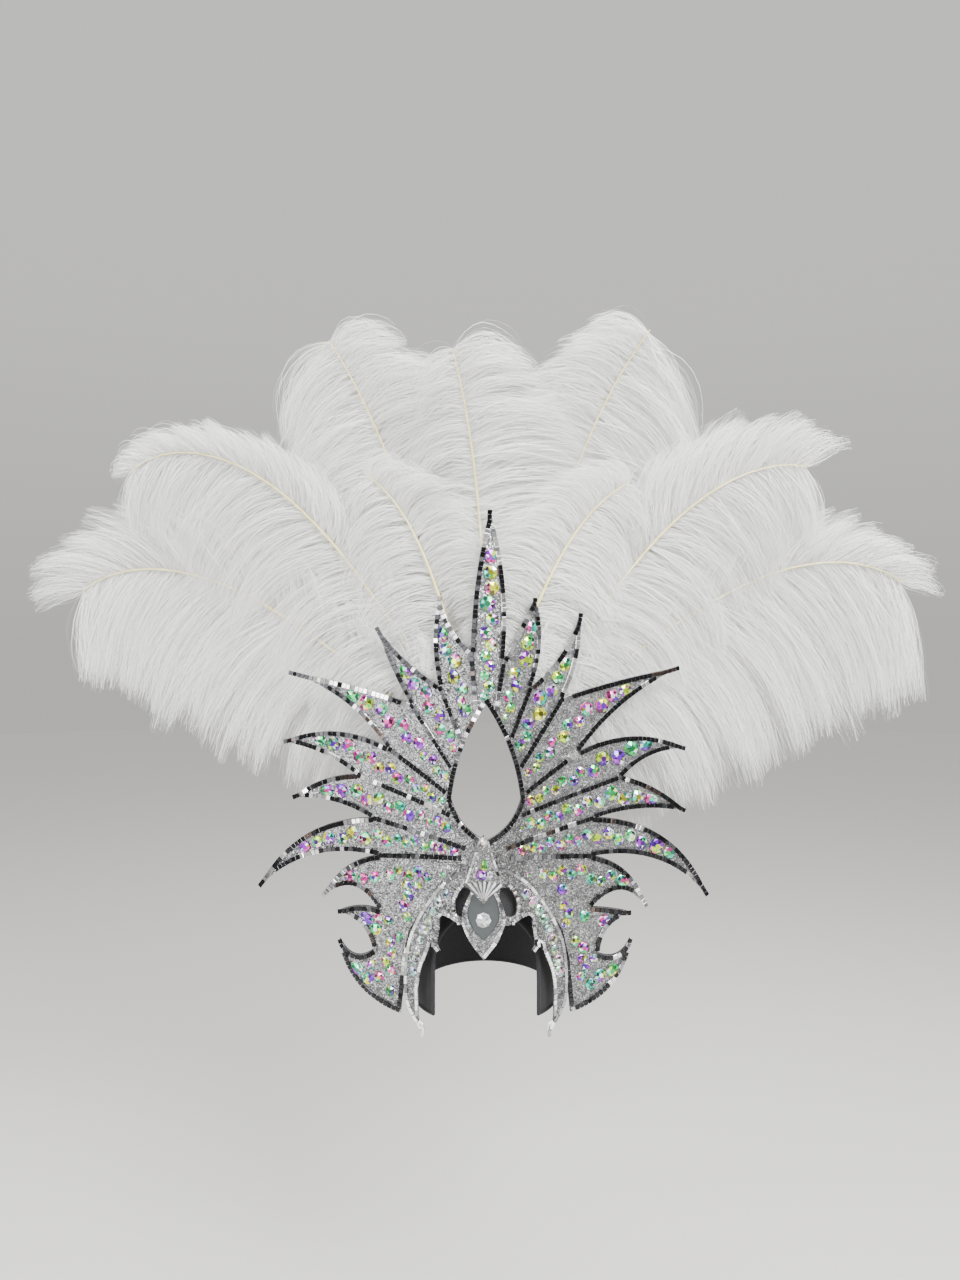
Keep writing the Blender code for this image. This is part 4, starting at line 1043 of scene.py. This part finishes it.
def plume_strands(plume):
    """The corners of each strand's ribbon, from its root out, and each strand's lightness."""
    dice = np.random.default_rng(sum(map(ord, plume["name"])))
    barbs = int(plume["length"] * PLUME_LENGTH * (1 - BARE_SHARE) / BARB_PITCH)
    per_side = barbs * STRANDS_PER_BARB
    count = 2 * per_side
    side = np.repeat([1, -1], per_side)
    barb = np.tile(np.repeat(np.arange(barbs), STRANDS_PER_BARB), 2)
    barb_key = barb + (side < 0) * barbs
    tufts = barbs // BARBS_PER_TUFT + 1
    tuft_key = barb // BARBS_PER_TUFT + (side < 0) * tufts

    def of_barb(spread):
        return dice.normal(0, spread, 2 * barbs)[barb_key]

    def of_tuft(spread):
        return dice.normal(0, spread, 2 * tufts)[tuft_key]

    def of_strand(spread):
        return dice.normal(0, spread, count)

    tuft_start, tuft_droop, tuft_reach = of_tuft(TUFT_START), of_tuft(TUFT_DROOP), of_tuft(TUFT_REACH)
    tuft_vane = np.clip((barb // BARBS_PER_TUFT + 0.5) * BARBS_PER_TUFT / barbs, 0, 1)
    shared = {"start": tuft_start, "droop": 1 + tuft_droop, "reach": 1 + tuft_reach}
    tuft_x, tuft_z, _, _ = barb_paths(plume, tuft_vane, side, shared)
    own = {
        "start": tuft_start + of_barb(BARB_START) + of_strand(STRAND_START),
        "droop": 1 + tuft_droop + of_barb(BARB_DROOP) + of_strand(STRAND_DROOP),
        "reach": 1 + tuft_reach + of_barb(BARB_REACH),
    }
    own["reach"] *= 1 - STRAND_SHORTER * dice.uniform(0, 1, count) ** 3
    vane = np.clip((barb + 0.5 + of_barb(BARB_SHIFT)) / barbs, 0, 1)
    x, z, turns, layer = barb_paths(plume, vane, side, own)
    parts = np.arange(STRAND_STEPS + 1)[:, None] / STRAND_STEPS
    pull = TUFT_PULL * parts ** TUFT_POWER
    x = x + (tuft_x - x) * pull
    z = z + (tuft_z - z) * pull
    along_x, along_z = plume["side"] * np.sin(turns), np.cos(turns)
    fluff = FLUFF * np.sin(np.pi * np.minimum(parts * 0.88 + 0.06, 1.0))
    off_side = of_strand(1)[None, :] * fluff
    off_depth = of_strand(1)[None, :] * fluff * FLUFF_BACK + of_tuft(TUFT_BACK)[None, :] * parts
    off_depth = np.maximum(off_depth, CLEAR_OF_PLATE - layer[None, :])
    wave = np.sin(parts * dice.uniform(3, 9, count)[None, :] + dice.uniform(0, 6.3, count)[None, :])
    off_side = off_side + WAVE * wave * parts
    x = x + along_z * off_side
    z = z - along_x * off_side
    y = back_at(x, z, layer[None, :]) + off_depth
    width = STRAND_WIDTH * (1 - STRAND_TAPER * parts[..., None] ** 2)
    tilt = dice.uniform(0, np.pi, count)[None, :, None]
    flat = np.stack([along_z, np.zeros_like(along_z), -along_x], axis=-1)
    wide = (flat * np.cos(tilt) + np.array([0.0, 1.0, 0.0]) * np.sin(tilt)) * width / 2
    centre = np.stack([x, y, z], axis=-1)
    corners = np.stack([centre - wide, centre + wide], axis=2).transpose(1, 0, 2, 3)
    light, mix = STRAND_LIGHT
    return corners.reshape(-1, 3), np.clip(light + of_strand(mix), 0.7, 1.0)


def build_plume(plume):
    """A plume of clumped strands on a quill."""
    corners, shade = plume_strands(plume)
    base = (np.arange(len(shade)) * (STRAND_STEPS + 1) * 2)[:, None] + (np.arange(STRAND_STEPS) * 2)[None, :]
    base = base.reshape(-1)
    quads = np.stack([base, base + 1, base + 3, base + 2], axis=-1)
    tints = np.repeat(shade, (STRAND_STEPS + 1) * 2)
    name = "feather_" + plume["name"]
    mesh = bpy.data.meshes.new(name)
    mesh.vertices.add(len(corners))
    mesh.vertices.foreach_set("co", corners.astype(np.float32).ravel())
    mesh.loops.add(len(quads) * 4)
    mesh.loops.foreach_set("vertex_index", quads.astype(np.int32).ravel())
    mesh.polygons.add(len(quads))
    mesh.polygons.foreach_set("loop_start", np.arange(0, len(quads) * 4, 4, dtype=np.int32))
    mesh.update(calc_edges=True)
    tint = mesh.color_attributes.new("tint", "FLOAT_COLOR", "POINT")
    colour = np.stack([tints, tints, tints * 0.985, np.ones_like(tints)], axis=-1)
    tint.data.foreach_set("color", colour.astype(np.float32).ravel())
    finished(link(name, mesh), "feather", "ostrich_feather", "plume_" + plume["name"])
    build_quill(plume)


def build_quill(plume):
    shares = np.linspace(0, 1, 25)
    x, z, _, layer = plume_quill(plume, shares)
    y = back_at(x, z, layer) - QUILL_FORWARD * np.clip((shares - 0.04) / 0.08, 0, 1)
    name = "quill_" + plume["name"]
    curve = curve_of(name, "3D", [list(zip(x, y, z))], False)
    curve.bevel_depth = 1.0
    curve.bevel_resolution = 2
    curve.use_fill_caps = True
    for point, share in zip(curve.splines[0].points, shares):
        point.radius = QUILL_BASE_RADIUS + (QUILL_TIP_RADIUS - QUILL_BASE_RADIUS) * share ** 0.8
    finished(surface_of(name, curve), "horn", "ostrich_feather", smooth=True)


# Pieces of the front

def build_crown():
    outlines = [crown_outline(), window_outline()]
    sheet("foam_plate", outlines, -PLATE_THICKNESS, PLATE_THICKNESS, "foam", "black_foam", "crown_plate")
    halves = ("gem_field_left", "gem_field_right")
    sheet("glitter_facing", outlines, GAP, FACING_THICKNESS, "glitter", "glitter_foam", *halves)
    trim = [crown_outline(), window_outline()]
    trim += [petal_interior(matched, tip) for matched, tip in petals().values()]
    trim += [side_panel_interior(side) for side in (-1, 1)]
    depth = TRIM_DEPTH - GROUT_THICKNESS / 2
    sheet("tile_backing", trim, depth, GROUT_THICKNESS, "grout", "mirror_tile", "mirror_trim")


def inset_line(edge, partner, inset):
    """An edge of a petal moved towards its partner edge."""
    return [a + (b - a).normalized() * min(inset, (b - a).length / 2) for a, b in zip(edge, partner)]


def build_crown_tiles():
    tiles = TileRows(7)
    depth = TRIM_DEPTH + GROUT_THICKNESS / 2
    half = CROWN_TAPE / 2

    def row(path, weights=CROWN_TILES):
        tiles.row(path, CROWN_TILE, depth, weights)

    def edges(matched, tip, bright=None):
        near, far = zip(*matched)
        row(inset_line(near, far, half) + [tip], MIXED_TILES if bright == "near" else CROWN_TILES)
        row(inset_line(far, near, half) + [tip], MIXED_TILES if bright == "far" else CROWN_TILES)

    around = moved_in(window_outline(), -half)
    top = len(around) // 2
    tiles.row(around[:top + 1], WINDOW_TILE, depth, WINDOW_TILES)
    tiles.row(around[top:] + around[:1], WINDOW_TILE, depth, MIXED_TILES)
    for label, (matched, tip) in petals().items():
        edges(matched[1:], tip, BRIGHT_EDGES.get(label))
    for side in (-1, 1):
        for matched, tip in claws_of(side):
            edges(matched, tip)
        spikes = spikes_of(side)
        valleys = [spikes[0]["start"]] + [spike["end"] for spike in spikes[:PETALS_PER_SIDE]]
        for valley, end in zip(valleys, crown_line(side, DIVIDER_ENDS)):
            row([valley, end])
        inner = [spikes[-1]["end"]] + crown_line(side, PLATE_INNER_EDGE)
        row([stepped(point, side, (0.5, 0.2)) for point in inner])
    tiles.make("crown_tiles", "mirror", "mirror_tile")


def stones_along(path, outline, dice, sizes, drop=True):
    """Stones from a path's outer end inwards: place, radius and, for a drop, its direction."""
    lengths = lengths_of(path)
    total = sum(lengths)
    distance = 0.0
    made = []
    if drop:
        distance = 2 * DROP_RADIUS
        least = DROP_ROOM * DROP_RADIUS + GAP
        while distance < total and room_at(walk(path, lengths, distance)[0], outline) < least:
            distance += DROP_RADIUS / 4
        place, heading = walk(path, lengths, distance)
        radius = min(DROP_RADIUS, room_at(place, outline) + STONE_OVER_TAPE)
        made.append((place, radius, heading + math.pi))
        distance += radius + sizes[0] + STONE_SPACE
    number = 0
    while distance < total:
        place, heading = walk(path, lengths, distance)
        room = room_at(place, outline)
        radius = min(sizes[min(number, len(sizes) - 1)] * dice.uniform(*STONE_MIX), room + STONE_OVER_TAPE)
        sideways = min(max(room - radius - GAP, 0.0), SWAY * max(radius, 0.0))
        if radius > SMALLEST_STONE:
            left = Vector((-math.sin(heading), math.cos(heading)))
            made.append((place + left * sideways * (1 if number % 2 else -1), radius, None))
        onward = math.sqrt(max((2 * radius) ** 2 - (2 * sideways) ** 2, radius * radius))
        distance += max(onward, SMALLEST_STONE) + STONE_SPACE
        number += 1
    return made


def middle_line(matched, tip):
    """The middle of a petal or a claw, from its tip inwards."""
    return [tip] + [(a + b) / 2 for a, b in matched[::-1]]


def clear_of(stones, place, radius):
    return all((place - other).length > STONES_APART * (radius + reach) for other, reach, _ in stones)


def build_crown_stones():
    dice = random.Random(11)
    fields = {-1: Facets(), 1: Facets()}

    def put(side, stones):
        for place, radius, heading in stones:
            stretch = 1.0 if heading is None else DROP_STRETCH
            turn = dice.uniform(0, 3) if heading is None else heading
            where = seat(place.x, place.y, GAP + FACING_THICKNESS, turn)
            stone(fields[side], where, radius, dice, stretch=stretch)

    for label, (matched, tip) in petals().items():
        outline = petal_interior(matched, tip)
        stones = stones_along(middle_line(matched, tip), outline, dice, SPIKE_STONES)
        put(-1 if label.startswith("left") else 1, stones)
    for side in (-1, 1):
        outline = side_panel_interior(side)
        placed = []
        for matched, tip in claws_of(side):
            placed += stones_along(middle_line(matched, tip), outline, dice, PANEL_STONES)
        for shares in PANEL_ROWS:
            line = stones_along(crown_line(side, shares), outline, dice, PANEL_STONES[1:], drop=False)
            for place, radius, heading in line:
                if clear_of(placed, place, radius):
                    placed.append((place, radius, heading))
        put(side, placed)
    for side, name in ((-1, "left"), (1, "right")):
        fields[side].make("crown_stones_" + name, "stone", "crystal")


def towards(line, middle):
    """A line moved in, towards the nearest of the middle's points."""
    made = []
    for a, b in zip(line, line[1:] + line[-1:]):
        run = (b - a) if (b - a).length > 0 else Vector((0, -1))
        normal = Vector((-run.y, run.x)).normalized()
        near = min(middle, key=lambda other: (other - a).length)
        made.append(a + normal * FRAME_TILES_IN * (1 if normal.dot(near - a) > 0 else -1))
    return made


def build_frame():
    outlines = frame_outlines()
    sheet("glitter_frame", outlines, FRAME_DEPTH, FRAME_THICKNESS, "frame", "glitter_foam", "face_frame")
    depth = FRAME_DEPTH + FRAME_THICKNESS
    tiles = TileRows(23)
    for side in (-1, 1):
        middle = frame_line(side, FRAME_STONES)
        for line, stretch in zip(frame_lines(side), (OUTER_STRIP, INNER_STRIP, 1.0)):
            tiles.row(towards(line, middle), FRAME_TILE, depth, SILVER_TILES, stretch)
        hole = moved_in(rounded_ring(frame_line(side, FRAME_HOLE)), -FRAME_TILES_IN)
        around = [point for point in hole if abs(point.x) > HOLE_TILES_FROM]
        tiles.row(around, HOLE_TILE, depth, SILVER_TILES)
    tiles.make("frame_tiles", "mirror", "mirror_tile", "frame_trim")
    dice = random.Random(31)
    # painted shade: the left half's stones are greyer, darker copies of the looks, while the right half
    # keeps the stones' pale colours
    painted_shade_looks = [tuple(0.30 * c + shift for c, shift in zip(look, (0.20, 0.26, 0.28))) for look in STONE_LOOKS]
    pale = [tuple(0.62 * c + 0.20 for c in look) for look in STONE_LOOKS]
    for side, name, looks in ((-1, "left", painted_shade_looks), (1, "right", pale)):
        facets = Facets()
        path = rounded(frame_line(side, FRAME_STONES))
        lengths = lengths_of(path)
        distance = 0.0
        while distance < sum(lengths):
            place, _ = walk(path, lengths, distance)
            radius = FRAME_STONE_RADIUS * dice.uniform(*FRAME_STONE_MIX)
            cup = seat(place.x, place.y, depth - CUP_SUNK, dice.uniform(0, 3))
            stone(facets, cup, CUP_SHARE * radius, dice, CUP_LOOKS)
            stone(facets, seat(place.x, place.y, depth, dice.uniform(0, 3)), radius, dice, looks)
            distance += FRAME_STONE_SPACE
        facets.make("frame_stones_" + name, "stone", "crystal", "frame_gems_" + name)


def kite(shape):
    """The rounded right edge of a kite on the brow panel, and its whole outline."""
    corners = panel_outline(shape, PANEL_HALF_WIDTH, PANEL_TOP, PANEL_HEIGHT)
    foot = len(shape) - 1
    right = rounded(corners[:foot + 1])
    return right, right + rounded(corners[foot:] + corners[:1])[1:-1]


def build_brow():
    """The kite over the brow: grey glass in a rim of glitter and silver tiles, with its clear stone."""
    right, outline = kite(PANEL_SHAPE)
    sheet("brow_glass", [outline], PANEL_DEPTH, PANEL_THICKNESS, "glass", "grey_glass", "brow_panel")
    front = PANEL_DEPTH + PANEL_THICKNESS
    rim = [outline, kite(GLASS_SHAPE)[1]]
    sheet("brow_rim", rim, front, PANEL_THICKNESS / 2, "glitter", "mirror_tile")
    tiles = TileRows(41)
    depth = PANEL_DEPTH + 1.5 * PANEL_THICKNESS
    line = moved_in(outline, BROW_TILE[1] / 2)
    split = int(len(right) * BROW_BIG_TILES_FROM)
    tiles.row(line[split:len(right)], BROW_BIG_TILE, depth, BRIGHT_TILES)
    tiles.row(line[:split + 1], BROW_TILE, depth, SILVER_TILES)
    tiles.row(line[len(right) - 1:] + line[:1], BROW_TILE, depth, SILVER_TILES)
    tiles.make("brow_tiles", "mirror", "mirror_tile")
    facets = Facets()
    where = seat(GROUP_ACROSS, PANEL_TOP - BROW_GEM_DOWN * PANEL_HEIGHT, front + GAP)
    stone(facets, where, BROW_GEM_RADIUS, random.Random(43), CLEAR_LOOKS, dimmest=CLEAR_DIMMEST)
    facets.make("brow_stone", "stone", "crystal", "brow_gem")


def build_crest():
    outline = panel_outline(CREST_SHAPE, CREST_HALF_WIDTH, CREST_TOP, CREST_HEIGHT)
    sheet("crest_shield", [outline], CREST_DEPTH, CREST_THICKNESS, "glitter", "glitter_foam", "crest")
    build_fan()
    front = CREST_DEPTH + CREST_THICKNESS
    tiles = TileRows(47)
    line = moved_in(outline, CREST_TILES_IN)
    wide = len(CREST_SHAPE) - 2
    tiles.row(line[:wide + 1], CREST_TILE, front, SILVER_TILES)
    tiles.row(line[wide + 2:] + line[:1], CREST_TILE, front, SILVER_TILES)
    tiles.make("crest_tiles", "mirror", "mirror_tile")
    dice = random.Random(53)
    facets = Facets()
    middle_up = CREST_TOP - CREST_GEM_DOWN * CREST_HEIGHT
    for across, up, heading, radius, stretch, glints, looks in CREST_STONES:
        where = seat(GROUP_ACROSS + across, middle_up + up, front + GAP, math.radians(heading))
        stone(facets, where, radius, dice, looks, stretch, glints)
    facets.make("crest_drop", "stone", "crystal", "crest_gem")
    facets = Facets()
    where = seat(GROUP_ACROSS, CREST_TOP - CREST_TOP_GEM_DOWN * CREST_HEIGHT, front + GAP)
    stone(facets, where, CREST_TOP_RADIUS, dice, PINK_LOOKS, dimmest=CLEAR_DIMMEST)
    facets.make("crest_top_stone", "stone", "crystal", "crest_top_gem")


def build_fan():
    """The pleated fan of foil that rises from the crest's foot."""
    dice = random.Random(59)
    root = Vector((GROUP_ACROSS, CREST_TOP - FAN_ROOT_DOWN * CREST_HEIGHT))
    count = 2 * FAN_PLEATS
    depth = CREST_DEPTH + CREST_THICKNESS
    points = []
    for share_out in FAN_RINGS:
        for number in range(count + 1):
            share = number / count * 2 - 1
            heading = math.radians(share * FAN_HALF_ANGLE)
            reach = FAN_LENGTH * share_out * (1 + FAN_LONGER * share * share)
            out = Vector((math.sin(heading), math.cos(heading)))
            fold = CREST_THICKNESS / 2 * share_out * (1 if number % 2 else FAN_LOW_FOLD)
            place = root + out * reach * (1.0 if number % 2 else FAN_NOTCH)
            points.append(bent(place.x, place.y, depth + fold + dice.uniform(0, FAN_CRUMPLE)))
    faces = []
    colours = []
    for level in range(len(FAN_RINGS) - 1):
        for number in range(count):
            a = level * (count + 1) + number
            b = a + count + 1
            faces += [(a, a + 1, b + 1), (a, b + 1, b)]
            # painted shade on every other pleat
            light = 1.0 if number % 2 else FAN_PAINTED_PLEAT_SHADE
            tint = dice.choice(FOIL_LOOKS)
            colours += [lit(tint, light * dice.uniform(*FAN_LIGHT)) for _ in range(2)]
    facets = Facets()
    facets.add(Matrix.Identity(4), points, faces, colours)
    facets.make("foil_fan", "foil", "mirror_tile")


def cap_point(across, up):
    """The place on the front of the cap's outside that is seen at this place."""
    wide, deep, tall = (size + CAP_WALL for size in CAP_INNER)
    left = max(1 - (across / wide) ** 2 - ((up + CAP_INNER[2]) / tall) ** 2, 0.0)
    return Vector((across, CAP_BACK_SHIFT - deep * math.sqrt(left), up))


def egg(clearance):
    """The cap's round form, inside it or outside it by a clearance."""
    bpy.ops.mesh.primitive_uv_sphere_add(segments=CAP_SEGMENTS, ring_count=CAP_RINGS, radius=1.0)
    made = bpy.context.object
    made.data.transform(Matrix.Diagonal((*(size + clearance for size in CAP_INNER), 1.0)))
    made.data.transform(Matrix.Translation((0, CAP_BACK_SHIFT, -CAP_INNER[2])))
    return made


def cut(target, tool):
    change = target.modifiers.new("cut", "BOOLEAN")
    change.operation = "DIFFERENCE"
    change.solver = "EXACT"
    change.object = tool
    mesh = evaluated(target)
    target.modifiers.clear()
    target.data = mesh
    bpy.data.objects.remove(tool)


def hem_path(arch):
    """The line of the cap's edge: up and over the face opening, and back round the rim."""
    centre_up = FACE_TOP - FACE_HALF_WIDTH
    start = [Vector((FACE_HALF_WIDTH, CAP_RIM + (centre_up - CAP_RIM) * part / 6)) for part in range(6)]
    front = start + arch + [Vector((-point.x, point.y)) for point in start[::-1]]
    path = [cap_point(point.x, point.y) for point in front]
    wide, deep, tall = (size + CAP_WALL for size in CAP_INNER)
    level = math.sqrt(1 - ((CAP_RIM + CAP_INNER[2]) / tall) ** 2)
    edge = math.asin(FACE_HALF_WIDTH / (wide * level))
    for number in range(1, RIM_STEPS):
        angle = -edge - (2 * math.pi - 2 * edge) * number / RIM_STEPS
        place = (wide * level * math.sin(angle), CAP_BACK_SHIFT - deep * level * math.cos(angle), CAP_RIM)
        path.append(Vector(place))
    return [(x, y + CAP_WALL / 2 if y < 0 else y - CAP_WALL / 2, z) for x, y, z in path]


def build_cap():
    """The skull cap as smooth stretch cloth, with a rolled hem round its face opening and its rim."""
    cap = egg(CAP_WALL)
    cut(cap, egg(0.0))
    bpy.ops.mesh.primitive_cube_add(size=2.0)
    below = bpy.context.object
    below.data.transform(Matrix.Scale(CAP_CUTTER, 4))
    below.data.transform(Matrix.Translation((0, 0, CAP_RIM - CAP_CUTTER)))
    cut(cap, below)
    centre_up = FACE_TOP - FACE_HALF_WIDTH
    arch = []
    for number in range(FACE_ARCH_STEPS + 1):
        angle = math.pi * number / FACE_ARCH_STEPS
        across, up = FACE_HALF_WIDTH * math.cos(angle), FACE_HALF_WIDTH * math.sin(angle)
        arch.append(Vector((across, centre_up + up)))
    feet = [Vector((side * FACE_HALF_WIDTH, CAP_RIM - BELOW_RIM)) for side in (-1, 1)]
    opening = flat_sheet("face_opening", [arch + feet], 0.0, CAP_CUTTER)
    opening.data.transform(Matrix.Rotation(math.pi / 2, 4, "X"))
    cut(cap, opening)
    cap.name = "cap_cloth"
    finished(cap, "felt", "black_felt", "head_cap", smooth=True)
    hem = curve_of("cap_hem", "3D", [hem_path(arch)], True)
    hem.bevel_depth = HEM_RADIUS
    hem.bevel_resolution = 3
    finished(surface_of("cap_hem", hem), "felt", "black_felt", smooth=True)


def build_stage():
    """A pale floor that runs far back under a pale studio."""
    mesh = bpy.data.meshes.new("floor")
    work = bmesh.new()
    bmesh.ops.create_circle(work, cap_ends=True, segments=64, radius=FLOOR_RADIUS)
    work.to_mesh(mesh)
    work.free()
    floor = link("floor", mesh)
    floor.location = (0, 0, FLOOR_UP)
    floor.data.materials.append(new_look("pale_floor", (0.72, 0.71, 0.69), 0.8)[0])
    world = bpy.data.worlds.new("studio")
    bpy.context.scene.world = world
    world.use_nodes = True
    nodes = Nodes(world.node_tree, "Background")
    nodes.end.inputs["Strength"].default_value = SKY_STRENGTH
    split = nodes.add("SeparateXYZ")
    nodes.links.new(nodes.add("TexCoord").outputs["Generated"], split.inputs["Vector"])
    stops = ((0.0, (0.695, 0.685, 0.665)), (0.30, (0.92, 0.91, 0.89)), (1.0, (0.98, 0.98, 0.97)))
    nodes.feed("Color", nodes.ramp(split.outputs["Z"], stops))
    for name, place, size, power in LIGHTS:
        light = bpy.data.lights.new(name, "AREA")
        light.shape = "DISK"
        light.size = size
        light.energy = power
        made = link(name, light)
        made.location = place
        made.rotation_euler = (Vector(LIGHTS_AIM) - Vector(place)).to_track_quat("-Z", "Y").to_euler()


def build_camera():
    camera = bpy.data.cameras.new("camera")
    camera.sensor_fit = "VERTICAL"
    camera.sensor_height = SENSOR
    camera.sensor_width = SENSOR
    camera.lens = SENSOR * FOCAL_PIXELS / PHOTO_HEIGHT
    camera.clip_start = 0.01
    camera.clip_end = 50.0
    made = link("camera", camera)
    made.location = CAMERA_PLACE
    made.rotation_euler = (math.pi / 2, 0, 0)
    bpy.context.scene.camera = made


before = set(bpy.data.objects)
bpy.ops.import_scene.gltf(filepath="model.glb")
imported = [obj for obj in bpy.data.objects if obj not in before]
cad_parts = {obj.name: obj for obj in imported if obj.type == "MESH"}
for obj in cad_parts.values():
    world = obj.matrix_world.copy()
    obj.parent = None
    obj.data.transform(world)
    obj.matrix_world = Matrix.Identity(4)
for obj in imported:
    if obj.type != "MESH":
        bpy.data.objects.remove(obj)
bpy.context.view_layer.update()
build_camera()
LOOKS = all_looks()
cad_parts["crown_support"].data.materials.clear()
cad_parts["crown_support"].data.materials.append(LOOKS["foam"])
build_cap()
build_crown()
build_crown_tiles()
build_crown_stones()
build_frame()
build_brow()
build_crest()
for plume_row in rows(PLUME_COLUMNS, PLUMES):
    build_plume(plume_row)
build_stage()
